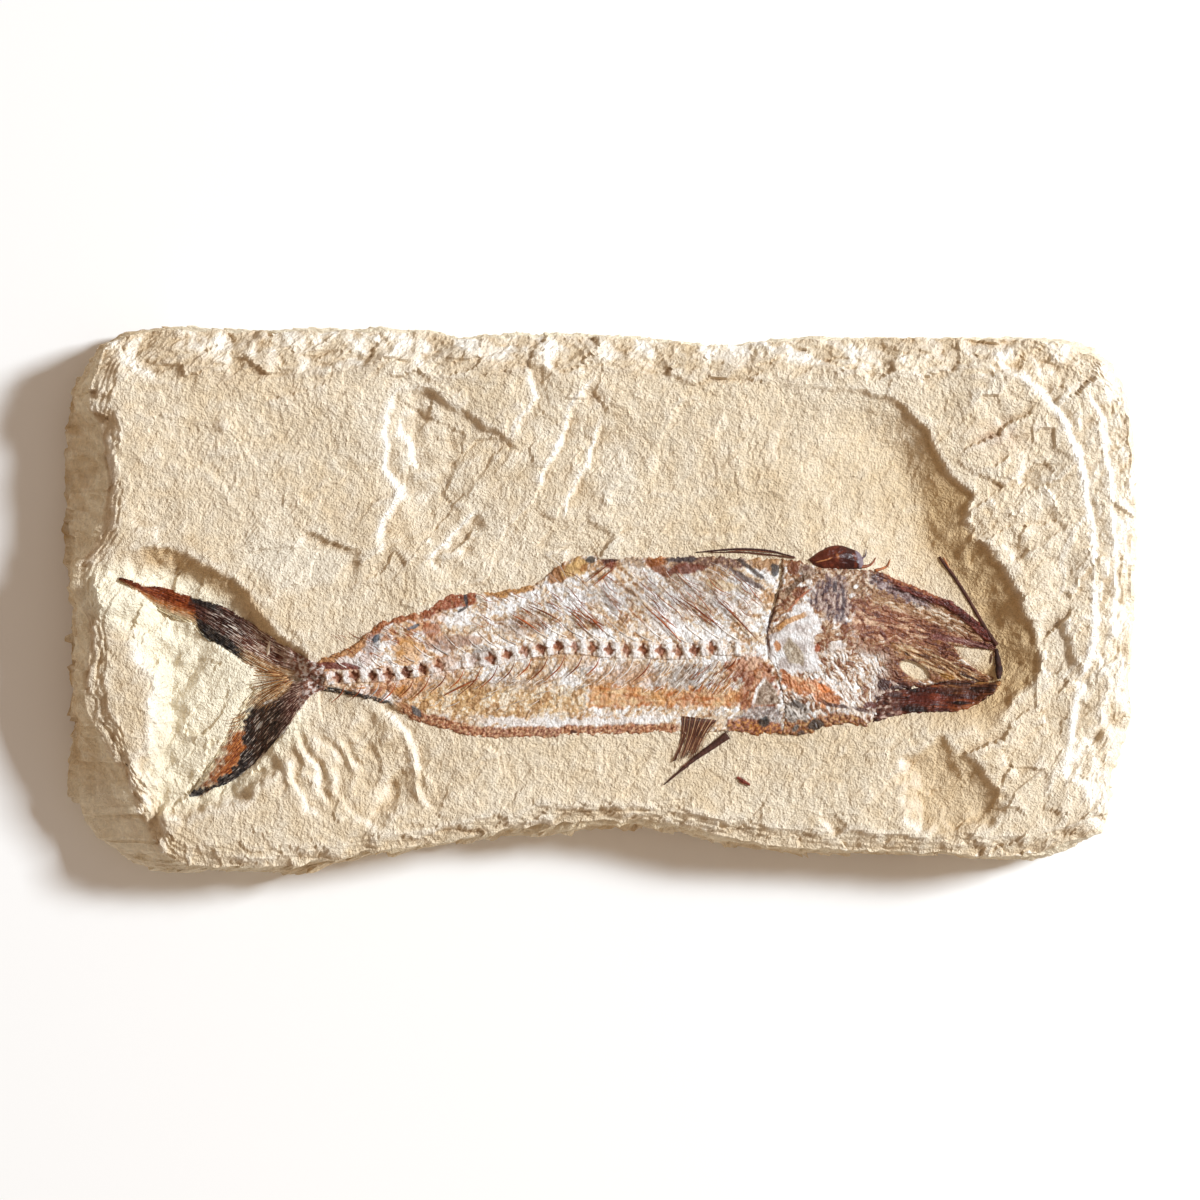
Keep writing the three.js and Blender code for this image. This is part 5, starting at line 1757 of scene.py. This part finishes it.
def lower_lobe_colours(x, y, u, v, rays):
    """The lower lobe: black-brown along its leading edge, an orange patch in its middle, and
    behind it fine amber hairs that fade out over the cream stone."""
    fleck = fractal(x, y, 1.3, 195, 3)
    streak = ray_streaks(u, v, 194)
    c = plain(x.shape, "#f2e6c9")
    hairs = smooth(streak * 2.4 + 0.4 * rays - 0.2) * smooth((v - 0.02) / 0.4)
    c = paint(c, hairs * 0.8, "#b98550")
    glow = patch(x, y, [(-99, -36), (-99, -43), (-102, -48), (-108, -52), (-111, -52.5),
                        (-107.5, -47), (-105.5, -42), (-103.5, -37.5)], 3.0, 1.8, 27)
    c = grained(c, glow, streak, "#a4561f", "#d58a48", "#6f3018", 0.95)
    black = patch(x, y, [(-100.6, -37.8), (-99.9, -34), (-98.6, -31), (-96, -28.4), (-92, -26.4),
                         (-86, -23.6), (-76, -20), (-76, -30), (-95, -52), (-118, -58),
                         (-117, -55.2), (-108, -51.4), (-103, -46.8), (-100.2, -42.4)],
                  0.9, 1.3, 28)
    c = grained(c, black, streak, "#3a241c", "#6f4534", "#1c1311", 0.97)
    c = grained(c, black * smooth((-97 - x + 3 * fleck) / 3), fleck, "#2a2422", "#4d423a",
                "#171312", 0.8)
    c = paint(c, black * smooth(streak * 3 - 1.3) * 0.8, "#dccdbd")
    c = grained(c, smooth((x + 91) / 5), streak, "#6b3a2e", "#d9bba6", "#3b1d17", 0.75)
    c = grained(c, smooth((x + 86) / 5), fleck + 0.2, "#a97760", "#f3e9e2", "#6a372a", 0.8)
    fan = smooth((0.4 - v) / 0.1) * smooth((y + 31 + fleck) / 3) * smooth((-86 - x) / 4)
    c = grained(c, fan, 0.35 * rays + 0.8 * streak, "#c79c6e", "#f2e3c4", "#5a3220", 0.95)
    c = spots(c, x, y, (
        (-96, -35.4, 1.7, 0.5, 50, "#d6cfc6"), (-93.8, -28.8, 1.6, 0.4, 25, "#d6cfc6"),
        (-89, -37, 3.0, 0.3, 50, "#c4bcb0"), (-99, -31, 1.4, 0.5, 40, "#8d8478"),
    ), 0.8)
    return paint(c, smooth((0.16 - v + 0.06 * fleck) / 0.14) * 0.85, "#f2e6c9")


def build_tail_fringe():
    """The finest hairs of the tail: a fan of them in the fork and a comb along the lower lobe's
    trailing edge, lying on the stone. To the eye they are single brown threads."""
    rng = np.random.default_rng(210)
    lines = []
    for share in np.linspace(0, 1, 46):
        share = np.clip(share + rng.uniform(-0.02, 0.02), 0, 1)
        angle = math.radians(mix(143, 236, share))
        way = np.array([math.cos(angle), math.sin(angle)])
        start = np.array((-85.5, -21.6)) + way * rng.uniform(1, 5)
        end = start + way * rng.uniform(7, 13)
        bow = np.array([-way[1], way[0]]) * (share - 0.5) * -1.2
        wide = rng.uniform(0.12, 0.26)
        lines.append(([start, (start + end) / 2 + bow, end], (wide, wide, 0.08), 0.35))
    for share in np.linspace(0, 1, 44):
        start = np.array([np.interp(share, (0, 0.4, 1), (-99.4, -101.2, -109)),
                          np.interp(share, (0, 0.4, 1), (-31, -39, -52))])
        start = start + rng.uniform(-0.5, 0.5, 2)
        angle = math.radians(mix(196, 222, share) + rng.uniform(-5, 5))
        end = start + np.array([math.cos(angle), math.sin(angle)]) * rng.uniform(3.5, 7)
        wide = rng.uniform(0.12, 0.24)
        lines.append(([start, (start + end) / 2 + (-0.1, -0.5), end], (wide, wide, 0.06), 0.3))
    strand_piece(
        "tail_fringe_hairs", lines, ("#9a6238", "#b98550", "#7a4a2a", "#d0a878"),
        bone_material("threadlike fossil fin hairs", 0.5, 0.0, 0.4, 0, 0.1), [],
        steps=7, sides=4, seed=9,
    )


def build_tail():
    """The two tail lobes: rays run from the root to the tip as low ridges, and sink into the
    stone along a ragged trailing edge. To the eye they are silky and fibrous."""
    material = bone_material("silky fossil fin rays", 0.45, 0.08, 0.5, 0, 0.16)
    for name, ring, count, seed, colours in (
        ("upper_lobe_rays", UPPER_LOBE, 30, 198, upper_lobe_colours),
        ("lower_lobe_rays", LOWER_LOBE, 36, 199, lower_lobe_colours),
    ):
        x, y, u, v = lobe_grid(ring, 260, 170)
        if ring is LOWER_LOBE:
            v = 1 - v
        rays = np.cos(2 * math.pi * (count * v + 0.5 * fractal(x, y, 7.0, seed, 2)))
        streak = ray_streaks(u, v, seed)
        ragged = 0.3 * fractal(x, y, 0.9, 92, 2)
        stand = mix(-0.9, 0.4, smooth((depth_inside(x, y, outline_of(ring)) + ragged) / 1.2 + 0.5))
        thin = smooth((0.3 - v) / 0.3) * (0.75 - 0.35 * streak)
        relief = 0.12 * rays + 0.2 * streak + 0.12 * fractal(x, y, 1.0, seed + 3, 2)
        root = 0.6 * smooth((x + 90) / 8)
        height = bed_height(x, y) + stand - thin + relief + root
        points, faces, source = lying_sheet(np.stack((x, y, height), -1), 1.0)
        make_object(
            name, points, faces, material, [name.replace("_lobe_rays", "_tail_lobe")],
            colours(x, y, u, v, rays).reshape(-1, 3)[source],
        )


def build_pelvic_fin():
    """The pelvic fin: a sheaf of flattened rays spreading from its root, some forked. To the eye
    each is a glossy brown thread."""
    rng = np.random.default_rng(200)
    count = 27
    lines = []
    for k in range(count):
        share = k / (count - 1)
        root = np.array([mix(23.2, 33.0, share), -32.6 - 1.2 * share])
        tip = np.array([mix(20.4, 26.8, share), mix(-45.6, -44.4, share)])
        tip = tip + rng.uniform(-0.7, 0.7, 2) + (0.6 * share, 2.6 * share * rng.uniform(0, 1))
        middle = mix(root, tip, 0.5) + (1.0 - 1.6 * share, 0.2)
        wide = rng.uniform(0.22, 0.42)
        lines.append(([root, middle, tip], (wide, wide * 1.2, wide * 0.9, 0.15), 0.22))
        if k % 4 == 1:
            split = tip + (0.7, 0.5)
            lines.append(([mix(root, middle, 0.8), mix(middle, split, 0.5), split],
                          (0.1, wide * 0.8, 0.1), 0.2))
    strand_piece(
        "pelvic_fin_rays", lines, ("#6b3d28", "#4a2a1e", "#8d5a3c", "#a98261", "#5a3222"),
        bone_material("glossy brown fin rays", 0.45, 0.1, 0.4, 0, 0.1),
        ["pelvic_fin"], steps=12, over=film_level,
    )


# ---------------------------------------------------------------- the stage

KEY_DISTANCE = 4.5  # from the slab to the key light, in metres
SENSOR = 36.0  # width of the camera's sensor, in mm


def studio_floor_material():
    """Matt white paper: to the eye even and bright, with only a faint mottle."""
    material = bpy.data.materials.new("matt white studio paper")
    material.use_nodes = True
    tree = material.node_tree
    tree.nodes.clear()
    place = add_node(tree, "ShaderNodeTexCoord").outputs["Object"]
    mottle = add_node(tree, "ShaderNodeTexNoise", {"Vector": place, "Scale": 1.25, "Detail": 2.0})
    tones = {"Factor": mottle, 6: (*linear("#fdfcfb"), 1.0), 7: (*linear("#f9f8f6"), 1.0)}
    white = add_node(tree, "ShaderNodeMix", tones, data_type="RGBA")
    shader = add_node(
        tree, "ShaderNodeBsdfPrincipled",
        {"Base Color": white, "Roughness": 0.9, "Specular IOR Level": 0.2},
    )
    add_node(tree, "ShaderNodeOutputMaterial", {"Surface": shader})
    return material


def area_light(name, azimuth, elevation, distance, size, watts, colour):
    """A square soft light aimed at the slab, azimuth from +X towards +Y."""
    data = bpy.data.lights.new(name, "AREA")
    data.shape = "SQUARE"
    data.size = size
    data.energy = watts
    data.color = colour
    light = bpy.data.objects.new(name, data)
    a, e = math.radians(azimuth), math.radians(elevation)
    towards = np.array([math.cos(a) * math.cos(e), math.sin(a) * math.cos(e), math.sin(e)])
    light.location = towards * distance
    light.rotation_mode = "QUATERNION"
    light.rotation_quaternion = Vector(towards).to_track_quat("Z", "Y")
    bpy.context.scene.collection.objects.link(light)


def build_stage(settings):
    """Floor, camera straight above, a raking key light from the fish's snout side, and warm
    light from all round."""
    side = 2.0
    mesh = bpy.data.meshes.new("studio_floor")
    corners = [(-side, -side, 0), (side, -side, 0), (side, side, 0), (-side, side, 0)]
    mesh.from_pydata(corners, [], [(0, 1, 2, 3)])
    mesh.materials.append(studio_floor_material())
    floor = bpy.data.objects.new("studio_floor", mesh)
    bpy.context.scene.collection.objects.link(floor)

    camera_data = bpy.data.cameras.new("camera")
    camera_data.sensor_width = SENSOR
    camera_data.lens = SENSOR * settings.camera_height / settings.frame_width
    camera_data.clip_end = 20.0
    camera = bpy.data.objects.new("camera", camera_data)
    camera.location = (0.0, 0.0, settings.camera_height + THICKNESS * MM)
    bpy.context.scene.collection.objects.link(camera)
    bpy.context.scene.camera = camera

    area_light("key", settings.key_azimuth, settings.key_elevation, KEY_DISTANCE, settings.key_size,
               settings.key_watts, settings.key_colour)
    world = bpy.data.worlds.new("warm studio")
    world.use_nodes = True
    world.node_tree.nodes.clear()
    tree = world.node_tree
    sky = {"Color": (*settings.fill_colour, 1.0), "Strength": settings.fill_strength}
    background = add_node(tree, "ShaderNodeBackground", sky)
    add_node(tree, "ShaderNodeOutputWorld", {"Surface": background})
    bpy.context.scene.world = world
    bpy.context.scene.view_settings.view_transform = "Standard"


# ---------------------------------------------------------------- settings, operators and panel


class FossilStoneSettings(bpy.types.PropertyGroup):
    """What can be changed on the stone."""

    grain: FloatProperty(
        name="Grain", description="Width of the tool marks in the stone, in mm",
        default=1.0, min=0.3, max=5.0,
    )
    grain_bump: FloatProperty(
        name="Grain depth", description="Depth of the finest grain, in mm",
        default=0.66, min=0.0, max=2.0,
    )
    bed_colour: FloatVectorProperty(
        name="Bed colour", description="Colour of the unbruised stone",
        default=tuple(linear("#ead8bc")), subtype="COLOR", size=3,
    )
    # Also the colour of the painted highlight on the slopes and flake edges that face the key
    # light.
    bruise_and_highlight_colour: FloatVectorProperty(
        name="Bruise colour", description="Colour of the stone where tools and breaks bruised it",
        default=tuple(linear("#fcf7ee")), subtype="COLOR", size=3,
    )


class FossilBoneSettings(bpy.types.PropertyGroup):
    """What can be changed on the ribs and spines."""

    rib_width: FloatProperty(
        name="Rib width", description="Width of the ribs against their usual one", default=1.0,
        min=0.2, max=3.0,
    )
    dark_rib: FloatVectorProperty(
        name="Dark ribs", description="Colour of the ribs that kept their bone",
        default=tuple(linear("#954c26")), subtype="COLOR", size=3,
    )
    pale_rib: FloatVectorProperty(
        name="Pale ribs", description="Colour of the ribs that are only a film",
        default=tuple(linear("#e6dad0")), subtype="COLOR", size=3,
    )


class FossilStageSettings(bpy.types.PropertyGroup):
    """The studio."""

    camera_height: FloatProperty(
        name="Camera height", description="Camera above the slab's upper face",
        default=2.0, unit="LENGTH",
    )
    frame_width: FloatProperty(
        name="Frame width", description="Width that the camera takes in at the upper face",
        default=0.3377, unit="LENGTH",
    )
    key_azimuth: FloatProperty(
        name="Key azimuth", description="Bearing of the key light from +X towards +Y, in degrees",
        default=18.0,
    )
    key_elevation: FloatProperty(
        name="Key elevation", description="Height of the key light, in degrees", default=36.0,
    )
    key_size: FloatProperty(
        name="Key size", description="Side of the square key light", default=0.9, unit="LENGTH",
    )
    key_watts: FloatProperty(
        name="Key power", description="Power of the key light", default=290.0, unit="POWER",
    )
    key_colour: FloatVectorProperty(
        name="Key colour", description="Colour of the key light",
        default=(0.85, 0.93, 1.0), subtype="COLOR", size=3,
    )
    fill_colour: FloatVectorProperty(
        name="Fill colour", description="Colour of the light from all round",
        default=(1.0, 0.79, 0.62), subtype="COLOR", size=3,
    )
    fill_strength: FloatProperty(
        name="Fill strength", description="Strength of the light from all round", default=0.38,
    )


class FOSSIL_OT_stage(bpy.types.Operator):
    """Set up the floor, lights and camera"""

    bl_idname = "fossil.stage"
    bl_label = "Studio"

    def execute(self, context):
        build_stage(context.scene.fossil_stage)
        return {"FINISHED"}


class FOSSIL_OT_slab(bpy.types.Operator):
    """Build the limestone slab"""

    bl_idname = "fossil.slab"
    bl_label = "Limestone slab"

    def execute(self, context):
        build_slab(context.scene.fossil_stone)
        return {"FINISHED"}


class FOSSIL_OT_trunk(bpy.types.Operator):
    """Build the body film, the vertebrae and the ribs"""

    bl_idname = "fossil.trunk"
    bl_label = "Trunk, backbone and ribs"

    def execute(self, context):
        build_trunk()
        build_backbone()
        build_ribs(context.scene.fossil_bone)
        return {"FINISHED"}


class FOSSIL_OT_head(bpy.types.Operator):
    """Build the skull, the lower jaw and the nape plate"""

    bl_idname = "fossil.head"
    bl_label = "Skull, jaw and nape plate"

    def execute(self, context):
        build_skull()
        build_jaw()
        build_nape_plate()
        return {"FINISHED"}


class FOSSIL_OT_rods(bpy.types.Operator):
    """Build the loose slender bones"""

    bl_idname = "fossil.rods"
    bl_label = "Slender bones"

    def execute(self, context):
        build_rods()
        return {"FINISHED"}


class FOSSIL_OT_fins(bpy.types.Operator):
    """Build the tail lobes and the pelvic fin"""

    bl_idname = "fossil.fins"
    bl_label = "Tail and pelvic fin"

    def execute(self, context):
        build_tail()
        build_tail_fringe()
        build_pelvic_fin()
        return {"FINISHED"}


OPERATORS = (
    FOSSIL_OT_stage, FOSSIL_OT_slab, FOSSIL_OT_trunk, FOSSIL_OT_head, FOSSIL_OT_rods,
    FOSSIL_OT_fins,
)


class FOSSIL_PT_panel(bpy.types.Panel):
    """Lists the pieces in the order they are made."""

    bl_label = "Fossil fish slab"
    bl_idname = "FOSSIL_PT_panel"
    bl_space_type = "VIEW_3D"
    bl_region_type = "UI"
    bl_category = "Fossil"

    def draw(self, context):
        for operator in OPERATORS:
            self.layout.operator(operator.bl_idname)


CLASSES = (
    FossilStoneSettings, FossilBoneSettings, FossilStageSettings, *OPERATORS, FOSSIL_PT_panel,
)


def register():
    for cls in CLASSES:
        bpy.utils.register_class(cls)
    bpy.types.Scene.fossil_stone = PointerProperty(type=FossilStoneSettings)
    bpy.types.Scene.fossil_bone = PointerProperty(type=FossilBoneSettings)
    bpy.types.Scene.fossil_stage = PointerProperty(type=FossilStageSettings)


def unregister():
    del bpy.types.Scene.fossil_stage
    del bpy.types.Scene.fossil_bone
    del bpy.types.Scene.fossil_stone
    for cls in reversed(CLASSES):
        bpy.utils.unregister_class(cls)


def main():
    register()
    for operator in OPERATORS:
        group, name = operator.bl_idname.split(".")
        getattr(getattr(bpy.ops, group), name)()


if __name__ == "__main__":
    main()
